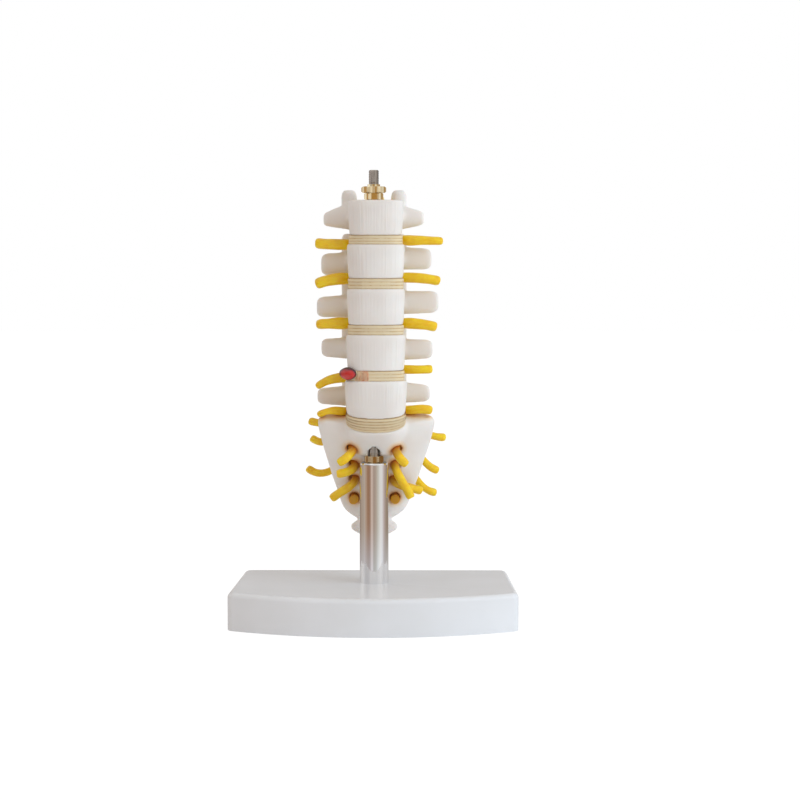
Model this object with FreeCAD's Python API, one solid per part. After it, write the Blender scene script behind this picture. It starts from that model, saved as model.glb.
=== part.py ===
import FreeCAD, Part
import math
import os
from collections import namedtuple
from FreeCAD import Vector

# Half-life-size lumbar spine on a stand: five vertebrae, their discs and the sacrum
# are threaded on one straight steel rod, with soft nerves standing out on both sides.
# Millimetres, +Z up. The origin is the middle of the base's footprint, on the table.
# The spine faces -Y. "Left" in a name is the side at -X, seen from the front.

os.makedirs("parts", exist_ok=True)

# Base: a moulded tray, open below, with a bowed front
BASE_WIDTH = 137.4
BASE_TAPER = 3.0
BASE_SIDE_DEPTH = 68.0
BASE_BOW = 17.0
BASE_HEIGHT = 18.0
BASE_FRONT_CORNER = 5.0
BASE_BACK_CORNER = 4.0
BASE_TOP_ROUND = 2.6
BASE_WALL = 2.4
BASE_TOP_WALL = 2.6
RIB_THICKNESS = 1.8
RIB_LIFT = 3.0
BOSS_DIAMETER = 17.0
BOSS_DROP = 6.8
SPIGOT_HEIGHT = 4.0
WASHER_DIAMETER = 14.0
WASHER_THICKNESS = 1.2

# Column: a chromed tube with a turned plug in its top
COLUMN_BACK = 5.0
COLUMN_DIAMETER = 14.0
COLUMN_WALL = 1.0
COLUMN_HEIGHT = 58.4
COLUMN_CHAMFER = 0.5
PLUG_DEPTH = 5.0
PLUG_SHOULDER = 0.6

# Rod, nuts and the brass fitting on top
ROD_DIAMETER = 4.8
ROD_BELOW_NUT = 1.2
ROD_ABOVE = 6.8
ROD_CHAMFER = 0.5
NUT_FLATS = 8.0
BASE_NUT_HEIGHT = 4.0
COLUMN_NUT_HEIGHT = 3.1
TOP_NUT_HEIGHT = 3.3
TOP_HEX_FLATS = 10.3
TOP_HEX_HEIGHT = 3.1
TOP_COLLAR_DIAMETER = 6.0
TOP_COLLAR_HEIGHT = 1.0

# Clearances
ROD_GAP = 0.3
NUT_GAP = 0.1
PLUG_GAP = 0.05
SEAT_GAP = 0.4
SOFT_GAP = 0.3

# The mouldings hang a little to the right of the rod that they are threaded on
SPINE_SHIFT = 0.9

# Discs, from the lowest up: their height at the rod
DISC_HEIGHTS = {"l4_l5": 4.7, "l3_l4": 4.5, "l2_l3": 4.8, "l1_l2": 4.1}
DISC_SCALE = 0.95
DISC_RING = 0.012
DISC_RINGS = 3

# Lumbar vertebrae. A transverse process is given by how far it reaches from the middle
# plane, how far its middle line lies below the body's top at the root and at the tip,
# and its height at the root and at the tip.
Process = namedtuple("Process", "reach root_drop tip_drop root_height tip_height")
Level = namedtuple("Level", "name height half_width half_depth foot_lean left right")
LEVELS = [
    Level("l5", 17.1, 15.0, 9.2, 17.0,
          Process(28.8, 8.6, 8.8, 10.8, 8.2), Process(26.0, 6.9, 7.4, 11.2, 8.6)),
    Level("l4", 17.4, 14.3, 9.0, 0.0,
          Process(26.8, 7.6, 7.2, 11.0, 9.2), Process(27.4, 8.2, 7.9, 11.0, 9.6)),
    Level("l3", 17.4, 13.9, 8.9, 0.0,
          Process(29.0, 8.9, 9.4, 11.6, 10.2), Process(30.2, 7.3, 6.8, 11.8, 11.0)),
    Level("l2", 16.4, 13.8, 8.8, 0.0,
          Process(26.8, 9.2, 10.0, 11.4, 10.8), Process(26.8, 6.8, 7.3, 11.6, 10.4)),
    Level("l1", 16.9, 13.3, 8.7, 0.0,
          Process(25.6, 7.3, 9.2, 14.4, 7.4), Process(23.1, 8.1, 8.6, 13.4, 7.4)),
]
BODY_CORNER_POWER = 2.3
BODY_BACK_HOLLOW = 0.6
# The arch and its joint processes sit a little to the left of their body
ARCH_X = -0.25
PROCESS_THICKNESS = 4.4
PROCESS_BACK = 14.6
PEDICLE_DROP = 7.3
PEDICLE_HEIGHT = 6.2
PEDICLE_WIDTH = 5.2
PILLAR_OUT = 12.0
PILLAR_BACK = 16.3
FACET_WIDTH = 7.8
FACET_THICKNESS = 4.3
FACET_RISE = 5.0
LOWER_FACET_OUT = 5.9
LOWER_FACET_WIDTH = 3.8
LOWER_FACET_BACK = 17.4
LOWER_FACET_FALL = 7.2
LAMINA_DROP = 8.6
LAMINA_HEIGHT = 8.2
LAMINA_THICKNESS = 3.0
LAMINA_BACK = 18.0
SPINE_TIP_BACK = 33.0
SPINE_TIP_DROP = 11.8
SPINE_HEIGHT = 10.4
SPINE_THICKNESS = 3.0

# Nerve sac in the canal
SAC_BACK = 11.0
SAC_HALF_WIDTH = 3.9
SAC_HALF_DEPTH = 3.0
SAC_ABOVE = 1.5
TUBE_STEP = 2.6

# Lumbar nerves: name, side, reach, rise of the root and of the tip above the lower
# body's top, radius at the root and at the tip
Nerve = namedtuple("Nerve", "name side reach root_rise tip_rise root_radius tip_radius back lift",
                   defaults=(0.0,))
LUMBAR_NERVES = [
    Nerve("l1", -1, 28.9, -0.3, 0.3, 2.7, 2.5, 7.9),
    Nerve("l1", 1, 32.2, 1.8, 1.4, 2.6, 1.9, 7.9),
    Nerve("l2", -1, 28.8, 4.7, 2.3, 3.0, 2.6, 7.9),
    Nerve("l2", 1, 30.6, 5.1, 3.6, 2.5, 2.4, 7.9),
    Nerve("l3", -1, 28.7, 4.9, 4.4, 3.0, 2.3, 7.9),
    Nerve("l3", 1, 29.0, 4.9, 3.4, 2.7, 2.4, 7.9),
    Nerve("l4", -1, 29.2, 0.9, -3.3, 2.6, 1.8, 7.9),
    Nerve("l4", 1, 27.2, 4.6, 4.8, 2.2, 2.1, 7.9),
]
L5_NERVES = [
    Nerve("l5", -1, 28.6, 21.0, 19.6, 2.2, 1.5, 4.4, 2.2),
    Nerve("l5", 1, 27.0, 21.6, 21.8, 2.2, 2.2, 4.6, 1.6),
]

# Torn disc: the soft core that bulges out between L4 and L5
CORE_ANGLE = 207.0
CORE_HALF_LENGTH = 5.0
CORE_HALF_HEIGHT = 3.1
CORE_HALF_DEPTH = 3.2
CORE_OUT = 0.6
CORE_LIFT = 1.1

# Sacrum. Heights are measured from its seat on the column nut and depths from the rod.
PLATEAU_FRONT = -7.8
PLATEAU_FRONT_RISE = 11.3
PLATEAU_LEAN = 34.0
PLATEAU_HALF_WIDTH = 14.6
PLATEAU_HALF_DEPTH = 9.25
L5_GAP_FRONT = 6.6
Slab = namedtuple("Slab", "back rise lean half_width thickness edge sweep")
# Its lower end drifts to the left: this much for each millimetre of height
SACRUM_DRIFT = 0.025
DRIFT_FROM = 10.0
SACRUM_SLABS = [
    Slab(3.6, 17.4, 34, 26.0, 6.5, 6.0, 2.2),
    Slab(4.6, 15.4, 34, 28.2, 11.0, 9.0, 2.4),
    Slab(6.2, 10.6, 35, 27.8, 13.5, 9.0, 2.6),
    Slab(8.6, 4.2, 38, 26.3, 12.0, 7.6, 2.4),
    Slab(12.6, -5.6, 33, 23.3, 10.5, 6.6, 1.8),
    Slab(15.7, -13.2, 24, 20.9, 9.0, 5.8, 1.2),
    Slab(17.2, -21.7, 12, 17.7, 7.5, 4.8, 0.6),
    Slab(17.3, -27.9, 2, 15.0, 6.3, 4.2, 0.2),
    Slab(16.6, -31.4, -6, 10.6, 5.2, 3.6, 0.0),
    Slab(16.2, -32.7, -10, 8.4, 4.4, 3.0, 0.0),
]
COCCYX_SLABS = [
    Slab(16.3, -32.0, -10, 8.2, 4.2, 3.0, 0.0),
    Slab(16.0, -33.8, -12, 9.2, 4.2, 3.0, 0.0),
    Slab(15.6, -36.0, -16, 11.6, 4.2, 2.8, 0.0),
    Slab(15.1, -38.0, -20, 11.0, 4.0, 2.8, 0.0),
    Slab(14.5, -40.0, -24, 7.4, 3.6, 2.6, 0.0),
    Slab(13.8, -42.0, -26, 5.0, 3.4, 2.6, 0.0),
    Slab(13.0, -44.4, -28, 4.4, 3.2, 2.4, 0.0),
    Slab(12.4, -46.4, -30, 2.6, 2.4, 1.8, 0.0),
]
Ring = namedtuple("Ring", "back rise half_width half_depth")
SACRAL_CANAL = [
    Ring(11.2, 26.0, 5.0, 3.6),
    Ring(11.9, 20.5, 4.8, 3.5),
    Ring(14.0, 13.5, 4.6, 3.4),
    Ring(16.6, 6.5, 4.2, 3.1),
    Ring(19.4, -1.5, 3.8, 2.7),
    Ring(21.0, -9.5, 3.3, 2.3),
    Ring(21.4, -17.5, 2.8, 2.0),
    Ring(21.2, -25.0, 2.4, 1.9),
    Ring(20.6, -33.0, 2.2, 1.9),
]
SACRAL_VAULT = [
    Ring(15.0, 11.3, 13.5, 5.0),
    Ring(17.0, 6.0, 12.6, 5.4),
    Ring(19.5, -2.0, 11.4, 5.0),
    Ring(21.2, -10.0, 10.0, 4.4),
    Ring(21.4, -18.0, 8.4, 3.8),
    Ring(20.4, -25.5, 6.6, 3.0),
]
CREST_THICKNESS = 2.6
Bump = namedtuple("Bump", "back rise half_height half_depth")
SACRAL_CREST = [
    Bump(21.4, 9.2, 3.6, 3.4),
    Bump(24.3, 0.6, 3.6, 3.4),
    Bump(25.9, -8.0, 3.4, 3.0),
    Bump(25.2, -16.0, 3.0, 2.4),
]
SACRAL_FACET_OUT = 12.9
SACRAL_FACET_BACK = 18.6
SACRAL_FACET_TOP = 21.8
SACRAL_FACET_FOOT = 9.0

# Holes through the sacrum for its nerves, from the uppermost down
Hole = namedtuple("Hole", "name out rise back lean")
SACRAL_HOLES = [
    Hole("s1", 11.2, 1.7, 0.0, 24),
    Hole("s2", 10.5, -6.1, 6.0, 36),
    Hole("s3", 10.1, -13.3, 10.4, 28),
    Hole("s4", 9.9, -22.2, 13.4, 14),
]
HOLE_FRONT_RADIUS = 2.9
HOLE_THROAT_RADIUS = 2.4
HOLE_REAR_RADIUS = 2.1
HOLE_FLARE = 4.0
HOLE_REACH = 12.0
HOLE_LENGTH = 40.0
REAR_EXIT = {"s1": 20.0, "s2": 19.4, "s3": 14.6}
ROOT_RADIUS = 2.1
REAR_ROOT_RADIUS = 1.75
SPRIG_DEPTH = 5.5

# Round-topped recess in the sacrum's front that shows the rod above the column nut
RECESS_RADIUS = 3.3
RECESS_RISE = 0.8
RECESS_DEPTH = 12.0

# Front sacral nerves: side and tip, as steps out, back and up from the hole's mouth
Sprig = namedtuple("Sprig", "name side out back up dip", defaults=(0.0,))
FRONT_SPRIGS = [
    Sprig("s1", -1, 5.1, -3.0, -4.5),
    Sprig("s1", 1, 3.8, -3.0, -5.1),
    Sprig("s2", -1, 6.6, -3.4, -2.9),
    Sprig("s2", 1, 7.0, -1.5, -14.0),
    Sprig("s3", -1, 10.2, -1.0, -8.2),
    Sprig("s3", 1, 12.0, 1.5, -5.0),
    Sprig("s4", -1, 0.6, -5.4, -1.7),
    Sprig("s4", 1, 0.4, -5.2, -1.5),
]
# Rear sacral nerves: side and tip, as a reach from the middle, a depth and a height, and
# how far the nerve dips on its way there
REAR_SPRIGS = [
    Sprig("s1", -1, 31.4, 22.5, 14.6),
    Sprig("s1", 1, 33.6, 22.5, 6.8),
    Sprig("s2", -1, 30.8, 25.0, 5.8, 1.8),
    Sprig("s2", 1, 30.2, 25.5, -9.8, 0.4),
    Sprig("s3", -1, 32.8, 26.0, -9.4, 3.4),
    Sprig("s3", 1, 29.2, 26.5, -21.0, 1.8),
]

# Heights that follow from the sizes above
COLUMN_TOP = BASE_HEIGHT + COLUMN_HEIGHT
SEAT = COLUMN_TOP + COLUMN_NUT_HEIGHT
WASHER_TOP = BASE_HEIGHT - BASE_TOP_WALL - BOSS_DROP
ROD_BOTTOM = WASHER_TOP - WASHER_THICKNESS - BASE_NUT_HEIGHT - ROD_BELOW_NUT
ROD_HOLE = ROD_DIAMETER / 2 + ROD_GAP
COLUMN_BORE = COLUMN_DIAMETER / 2 - COLUMN_WALL


def ahead(lean):
    """The way straight back along a face that leans forward by this angle."""
    return Vector(0, math.cos(math.radians(lean)), math.sin(math.radians(lean)))


def ring(points):
    curve = Part.BSplineCurve()
    curve.interpolate(points, PeriodicFlag=True)
    return Part.Wire([curve.toShape()])


def oval(centre, side, up, half_side, half_up):
    """An ellipse with its half widths along side and up."""
    if half_side >= half_up:
        curve = Part.Ellipse(centre + side * half_side, centre + up * half_up, centre)
    else:
        curve = Part.Ellipse(centre + up * half_up, centre - side * half_side, centre)
    return Part.Wire([curve.toShape()])


def loft(rings):
    return Part.makeLoft(rings, True, False)


def circle(centre, way, radius):
    return Part.Wire([Part.Circle(centre, way, radius).toShape()])


def tube(stations):
    """A soft round branch through (point, radius) stations, with a softly rounded end."""
    points = [point for point, radius in stations]
    curve = Part.BSplineCurve()
    curve.interpolate(points)
    edge = curve.toShape()
    marks = [curve.parameter(point) for point in points]
    count = max(4, round(edge.Length / TUBE_STEP))
    rings = []
    for step in range(count + 1):
        reach = min(step / count, 0.9999)
        mark = edge.getParameterByLength(edge.Length * reach)
        radius = stations[-1][1]
        for index in range(len(marks) - 1):
            if marks[index] <= mark < marks[index + 1]:
                share = (mark - marks[index]) / (marks[index + 1] - marks[index])
                radius = stations[index][1] * (1 - share) + stations[index + 1][1] * share
        rings.append(circle(edge.valueAt(mark), edge.tangentAt(mark), radius))
    way = edge.tangentAt(edge.LastParameter)
    rings.append(circle(points[-1] + way * (0.55 * radius), way, 0.72 * radius))
    return loft(rings)


def rod_cylinder(radius, bottom, top):
    return Part.makeCylinder(radius, top - bottom, Vector(0, 0, bottom))


def fuse_all(solids):
    whole = solids[0]
    for solid in solids[1:]:
        whole = whole.fuse(solid)
    return whole


def to_stand(shape):
    """Shapes are drawn about the rod, and this puts them on the stand."""
    moved = shape.copy()
    moved.translate(Vector(0, COLUMN_BACK, 0))
    return moved


def save(name, shape):
    shape.exportStep("parts/" + name + ".step")
    print(name, shape.isValid(), len(shape.Solids), round(shape.Volume, 1))


# Base


def base_outline(inset):
    """The tray's outline, drawn in by inset: it narrows to the back, and its front is bowed."""
    half = BASE_WIDTH / 2 - inset
    back_half = half - BASE_TAPER
    depth = BASE_SIDE_DEPTH + BASE_BOW
    back = depth / 2 - inset
    bow_radius = ((BASE_WIDTH / 2) ** 2 + BASE_BOW ** 2) / (2 * BASE_BOW)
    bow_middle = -depth / 2 + bow_radius
    side_front = bow_middle - math.sqrt((bow_radius - inset) ** 2 - half ** 2)
    corners = [Vector(-back_half, back, 0), Vector(-half, side_front, 0),
               Vector(half, side_front, 0), Vector(back_half, back, 0)]
    front = Part.Arc(corners[1], Vector(0, -depth / 2 + inset, 0), corners[2])
    edges = [Part.makeLine(corners[0], corners[1]), front.toShape(),
             Part.makeLine(corners[2], corners[3]), Part.makeLine(corners[3], corners[0])]
    return Part.Face(Part.Wire(edges))


def upright_edges(solid, front):
    """The corner edges of the tray, at its front or at its back."""
    chosen = []
    for edge in solid.Edges:
        ends = [vertex.Point for vertex in edge.Vertexes]
        if len(ends) == 2 and abs(ends[0].z - ends[1].z) > 1:
            if (ends[0].y < 0) == front:
                chosen.append(edge)
    return chosen


def tray_block(inset, bottom, top, front_radius, back_radius):
    block = base_outline(inset).extrude(Vector(0, 0, top - bottom))
    block.translate(Vector(0, 0, bottom))
    block = block.makeFillet(front_radius, upright_edges(block, True))
    return block.makeFillet(back_radius, upright_edges(block, False))


def base_shell():
    outer = tray_block(0, 0, BASE_HEIGHT, BASE_FRONT_CORNER, BASE_BACK_CORNER)
    top_edges = [edge for edge in outer.Edges if edge.BoundBox.ZMin > BASE_HEIGHT - 0.01]
    outer = outer.makeFillet(BASE_TOP_ROUND, top_edges)
    ceiling = BASE_HEIGHT - BASE_TOP_WALL
    inner = tray_block(BASE_WALL, -1, ceiling, BASE_FRONT_CORNER - BASE_WALL / 2,
                       BASE_BACK_CORNER - BASE_WALL / 2)
    shell = outer.cut(inner)
    rib_length = BASE_WIDTH - BASE_TAPER - BASE_WALL
    long_rib = Part.makeBox(rib_length, RIB_THICKNESS, ceiling + 0.5 - RIB_LIFT,
                            Vector(-rib_length / 2, COLUMN_BACK - RIB_THICKNESS / 2, RIB_LIFT))
    depth = BASE_SIDE_DEPTH + BASE_BOW - BASE_WALL
    cross_rib = Part.makeBox(RIB_THICKNESS, depth, ceiling + 0.5 - RIB_LIFT,
                             Vector(-RIB_THICKNESS / 2, -depth / 2, RIB_LIFT))
    # The middle of both ribs is cut short, so that the washer and nut have room
    well = Part.makeCylinder(BOSS_DIAMETER / 2, WASHER_TOP + 1, Vector(0, COLUMN_BACK, -1))
    boss = to_stand(rod_cylinder(BOSS_DIAMETER / 2, WASHER_TOP, ceiling + 0.5))
    ribs = long_rib.fuse(cross_rib).cut(well)
    spigot_radius = COLUMN_BORE - PLUG_GAP
    spigot = to_stand(rod_cylinder(spigot_radius, BASE_HEIGHT - 0.5,
                                   BASE_HEIGHT + SPIGOT_HEIGHT))
    shell = fuse_all([shell, ribs, boss, spigot]).removeSplitter()
    bore = to_stand(rod_cylinder(ROD_HOLE, 0, BASE_HEIGHT + SPIGOT_HEIGHT + 1))
    return shell.cut(bore)


# Column, rod and nuts


def hex_nut(flats, height, bottom, bore):
    """A hexagon with both faces chamfered on its corners."""
    corner = flats / math.sqrt(3)
    points = []
    for step in range(7):
        turn = math.radians(60 * step)
        points.append(Vector(corner * math.cos(turn), corner * math.sin(turn), bottom))
    prism = Part.Face(Part.makePolygon(points)).extrude(Vector(0, 0, height))
    drop = (corner - flats / 2) * math.tan(math.radians(30)) * 1.3
    outline = [Vector(0, 0, bottom), Vector(flats / 2, 0, bottom),
               Vector(corner + 0.02, 0, bottom + drop),
               Vector(corner + 0.02, 0, bottom + height - drop),
               Vector(flats / 2, 0, bottom + height), Vector(0, 0, bottom + height),
               Vector(0, 0, bottom)]
    turned = Part.Face(Part.makePolygon(outline)).revolve(Vector(0, 0, 0), Vector(0, 0, 1), 360)
    nut = prism.common(turned)
    return nut.cut(rod_cylinder(bore, bottom - 1, bottom + height + 1))


def column_tube():
    outer = rod_cylinder(COLUMN_DIAMETER / 2, BASE_HEIGHT, COLUMN_TOP)
    rim = [edge for edge in outer.Edges
           if edge.BoundBox.ZMin > COLUMN_TOP - 0.01 and len(edge.Vertexes) == 1]
    outer = outer.makeChamfer(COLUMN_CHAMFER, rim)
    return outer.cut(rod_cylinder(COLUMN_BORE, BASE_HEIGHT - 1, COLUMN_TOP + 1))


def column_plug():
    """Turned plug: it fills the tube's mouth and carries the nut."""
    plug = rod_cylinder(COLUMN_BORE - PLUG_GAP, COLUMN_TOP - PLUG_DEPTH, COLUMN_TOP)
    foot = [edge for edge in plug.Edges
            if edge.BoundBox.ZMax < COLUMN_TOP - PLUG_DEPTH + 0.01 and len(edge.Vertexes) == 1]
    plug = plug.makeChamfer(PLUG_SHOULDER, foot)
    return plug.cut(rod_cylinder(ROD_DIAMETER / 2 + NUT_GAP, COLUMN_TOP - PLUG_DEPTH - 1,
                                 COLUMN_TOP + 1))


def tie_rod(top):
    rod = rod_cylinder(ROD_DIAMETER / 2, ROD_BOTTOM, top)
    ends = [edge for edge in rod.Edges if len(edge.Vertexes) == 1]
    return rod.makeChamfer(ROD_CHAMFER, ends)


def top_fitting(bottom):
    """Hexagon with a small turned collar on its upper face."""
    bore = ROD_DIAMETER / 2 + NUT_GAP
    hexagon = hex_nut(TOP_HEX_FLATS, TOP_HEX_HEIGHT, bottom, bore)
    collar_top = bottom + TOP_HEX_HEIGHT + TOP_COLLAR_HEIGHT
    collar = rod_cylinder(TOP_COLLAR_DIAMETER / 2, bottom + TOP_HEX_HEIGHT - 0.5, collar_top)
    return hexagon.fuse(collar.cut(rod_cylinder(bore, bottom, collar_top + 1))).removeSplitter()


# Vertebral bodies and discs


def body_ring(centre, lean, half_width, half_depth, scale):
    """Kidney outline of a body or disc: squarish oval, hollowed at the back."""
    back = ahead(lean)
    points = []
    count = 20
    for step in range(count):
        turn = 2 * math.pi * step / count
        power = 2 / BODY_CORNER_POWER
        across = math.copysign(abs(math.cos(turn)) ** power, math.cos(turn))
        along = math.copysign(abs(math.sin(turn)) ** power, math.sin(turn))
        x = half_width * across * scale
        depth = half_depth * along * scale
        if along > 0:
            depth -= (BODY_BACK_HOLLOW + 0.06 * half_depth) * math.exp(-(2.6 * across) ** 2)
            depth -= 0.03 * half_depth * along
        points.append(centre + Vector(x + SPINE_SHIFT, 0, 0) + back * depth)
    return ring(points)


Stack = namedtuple("Stack", "level top foot foot_lean")


def stack_levels():
    """Heights of the bodies, from L5 up, standing on the sacrum's plateau."""
    stacks = {}
    first = LEVELS[0]
    front = SEAT + PLATEAU_FRONT_RISE + L5_GAP_FRONT
    slope = math.tan(math.radians(first.foot_lean))
    foot_middle = front + first.half_depth * slope
    foot = foot_middle
    disc_names = list(DISC_HEIGHTS)
    for index, level in enumerate(LEVELS):
        if index == 0:
            top = foot + level.height - first.half_depth * slope * 0.45
        else:
            foot = stacks[LEVELS[index - 1].name].top + DISC_HEIGHTS[disc_names[index - 1]]
            top = foot + level.height
        stacks[level.name] = Stack(level, top, foot, level.foot_lean)
    return stacks


def body_block(stack, grow=0.0):
    """A body alone. With grow it is a little larger all round, for cutting others."""
    level = stack.level
    rise = stack.top - stack.foot
    outline = [(0.0, 0.925), (0.12, 0.955), (0.26, 0.968), (0.5, 0.98), (0.74, 0.993),
               (0.91, 1.0), (1.0, 0.978)]
    rings = []
    for share, scale in outline:
        lean = stack.foot_lean * (1 - share)
        height = stack.foot + rise * share + grow * (2 * share - 1)
        rings.append(body_ring(Vector(0, 0, height), lean, level.half_width + grow,
                               level.half_depth + grow, scale))
    return loft(rings)


def disc_block(foot_point, foot_lean, top_point, top_lean, half_width, half_depth):
    """A disc with raised rings round its edge, as its layers show."""
    rings = []
    steps = 2 * DISC_RINGS
    for step in range(steps + 1):
        share = step / steps
        bulge = DISC_RING if step % 2 else -DISC_RING
        centre = foot_point + (top_point - foot_point) * share
        lean = foot_lean + (top_lean - foot_lean) * share
        rings.append(body_ring(centre, lean, half_width, half_depth, 1 + bulge))
    return loft(rings)


# Back of a vertebra


def transverse_process(side, process, top):
    root = Vector(side * PILLAR_OUT * 0.86 + ARCH_X, PROCESS_BACK + 0.2,
                  top - process.root_drop)
    tip_x = side * process.reach + SPINE_SHIFT
    tip = Vector(tip_x, PROCESS_BACK - 0.6, top - process.tip_drop)
    length = (tip - root).Length
    rings = []
    stations = [(0.0, 1.0), (0.25, 1.0), (0.5, 1.0), (0.72, 1.0), (0.87, 0.97), (0.96, 0.8),
                (1.0, 0.5)]
    for share, swell in stations:
        centre = root + (tip - root) * share
        grown = min(share * 1.15, 1)
        height = process.root_height + (process.tip_height - process.root_height) * grown
        thickness = PROCESS_THICKNESS * (1 - 0.22 * share)
        half_thickness = thickness / 2 * (swell ** 0.8)
        rings.append(oval(centre, Vector(0, 1, 0), Vector(0, 0, 1), half_thickness,
                          height / 2 * swell))
    return loft(rings)


def pedicle(side, top):
    start = Vector(side * 9.6 + SPINE_SHIFT, 4.5, top - PEDICLE_DROP)
    end = Vector(side * PILLAR_OUT + ARCH_X, PILLAR_BACK - 0.6, top - PEDICLE_DROP - 0.3)
    way = (end - start).normalize()
    across = way.cross(Vector(0, 0, 1)).normalize()
    rings = []
    for share, swell in [(0.0, 1.06), (0.45, 0.95), (1.0, 1.08)]:
        rings.append(oval(start + (end - start) * share, across, Vector(0, 0, 1),
                          PEDICLE_WIDTH / 2 * swell, PEDICLE_HEIGHT / 2 * swell))
    return loft(rings)


def upper_facet(side, top):
    """Upper joint process: a post with a rounded head that rises behind the disc."""
    rings = []
    drop = LAMINA_DROP + LAMINA_HEIGHT * 0.35
    stations = [(-drop, 0.84, 0.92), (-drop * 0.66, 0.92, 0.97), (-drop * 0.33, 0.98, 1.0),
                (0.0, 1.0, 1.0), (FACET_RISE * 0.5, 0.96, 0.98), (FACET_RISE * 0.84, 0.8, 0.84),
                (FACET_RISE, 0.52, 0.56)]
    for rise, wide, thick in stations:
        centre = Vector(side * (PILLAR_OUT + 0.02 * rise) + ARCH_X, PILLAR_BACK, top + rise)
        rings.append(oval(centre, Vector(1, 0, 0), Vector(0, 1, 0), FACET_WIDTH / 2 * wide,
                          FACET_THICKNESS / 2 * thick))
    return loft(rings)


def lower_facet(side, top, foot):
    """Lower joint process: hangs from the lamina and ends between the next level's posts."""
    rings = []
    start = top - LAMINA_DROP
    bottom = foot - LOWER_FACET_FALL
    stations = [(0.0, 1.12, 0.75), (0.25, 1.1, 0.85), (0.5, 1.04, 0.95), (0.72, 1.0, 1.0),
                (0.88, 0.94, 0.95), (0.965, 0.78, 0.8), (1.0, 0.5, 0.54)]
    for share, wide, thick in stations:
        height = start + (bottom - start) * share
        centre = Vector(side * LOWER_FACET_OUT + ARCH_X, LOWER_FACET_BACK, height)
        rings.append(oval(centre, Vector(1, 0, 0), Vector(0, 1, 0), LOWER_FACET_WIDTH / 2 * wide,
                          FACET_THICKNESS / 2 * 0.9 * thick))
    return loft(rings)


def lamina_arch(top):
    """The arch behind the canal, from one joint pillar to the other."""
    height = top - LAMINA_DROP
    path = [(-PILLAR_OUT, PILLAR_BACK - 0.2, 0.0), (-6.8, PILLAR_BACK + 0.7, -0.3),
            (0.0, LAMINA_BACK, -0.6), (6.8, PILLAR_BACK + 0.7, -0.3),
            (PILLAR_OUT, PILLAR_BACK - 0.2, 0.0)]
    rings = []
    for index, (x, back, drop) in enumerate(path):
        before = path[max(index - 1, 0)]
        after = path[min(index + 1, len(path) - 1)]
        way = Vector(after[0] - before[0], after[1] - before[1], 0).normalize()
        across = way.cross(Vector(0, 0, 1))
        centre = Vector(x + ARCH_X, back, height + drop)
        rings.append(oval(centre, across, Vector(0, 0, 1), LAMINA_THICKNESS / 2,
                          LAMINA_HEIGHT / 2))
    return loft(rings)


def spinous_process(top, reach):
    start = Vector(ARCH_X, LAMINA_BACK, top - LAMINA_DROP - 0.8)
    end = Vector(ARCH_X, reach, top - SPINE_TIP_DROP)
    rings = []
    stations = [(0.0, 0.62, 0.9), (0.25, 0.7, 0.8), (0.5, 0.82, 0.82), (0.74, 0.94, 1.0),
                (0.9, 1.0, 1.15), (0.97, 0.9, 0.98), (1.0, 0.7, 0.66)]
    for share, tall, thick in stations:
        rings.append(oval(start + (end - start) * share, Vector(1, 0, 0), Vector(0, 0, 1),
                          SPINE_THICKNESS / 2 * thick, SPINE_HEIGHT / 2 * tall))
    return loft(rings)


def vertebra(stack):
    top = stack.top
    back_foot = stack.foot
    pieces = [body_block(stack), lamina_arch(top),
              spinous_process(top, SPINE_TIP_BACK * (0.92 if stack.foot_lean else 1.0))]
    for side, process in ((-1, stack.level.left), (1, stack.level.right)):
        pieces.append(pedicle(side, top))
        pieces.append(upper_facet(side, top))
        pieces.append(lower_facet(side, top, back_foot))
        pieces.append(transverse_process(side, process, top))
    whole = fuse_all(pieces)
    return whole.cut(rod_cylinder(ROD_HOLE, stack.foot - 20, top + 20))


# Sacrum and coccyx


def slab_ring(slab):
    """Section across the sacrum: thick in the middle, thin and swept back at its edges."""
    back = ahead(slab.lean)
    drift = SACRUM_DRIFT * min(slab.rise - DRIFT_FROM, 0)
    centre = Vector(SPINE_SHIFT + drift, slab.back, SEAT + slab.rise)
    side = Vector(slab.half_width, 0, 0)
    mid = slab.thickness / 2
    edge = slab.edge / 2
    half = [(0.0, -mid), (0.42, -mid * 0.96 + slab.sweep * 0.1),
            (0.78, -edge + slab.sweep * 0.6), (1.0, slab.sweep),
            (0.78, edge + slab.sweep * 0.7), (0.42, mid * 0.96 + slab.sweep * 0.1), (0.0, mid)]
    points = [centre + side * share + back * depth for share, depth in half]
    points += [centre - side * share + back * depth for share, depth in half[-2:0:-1]]
    return ring(points)


def canal_tube(grow, first, last):
    """The sacral canal's bore, or with a negative grow the sac that lies in it."""
    rings = []
    for index in range(first, last):
        station = SACRAL_CANAL[index]
        before = SACRAL_CANAL[max(index - 1, 0)]
        after = SACRAL_CANAL[min(index + 1, len(SACRAL_CANAL) - 1)]
        way = Vector(0, after.back - before.back, after.rise - before.rise).normalize()
        up = way.cross(Vector(1, 0, 0)).normalize()
        centre = Vector(SPINE_SHIFT, station.back, SEAT + station.rise)
        rings.append(oval(centre, Vector(1, 0, 0), up, station.half_width + grow,
                          station.half_depth + grow))
    return loft(rings)


def vault():
    """The bony roof of the sacral canal."""
    rings = []
    for index, station in enumerate(SACRAL_VAULT):
        before = SACRAL_VAULT[max(index - 1, 0)]
        after = SACRAL_VAULT[min(index + 1, len(SACRAL_VAULT) - 1)]
        way = Vector(0, after.back - before.back, after.rise - before.rise).normalize()
        up = way.cross(Vector(1, 0, 0)).normalize()
        centre = Vector(SPINE_SHIFT, station.back, SEAT + station.rise)
        rings.append(oval(centre, Vector(1, 0, 0), up, station.half_width, station.half_depth))
    return loft(rings)


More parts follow.
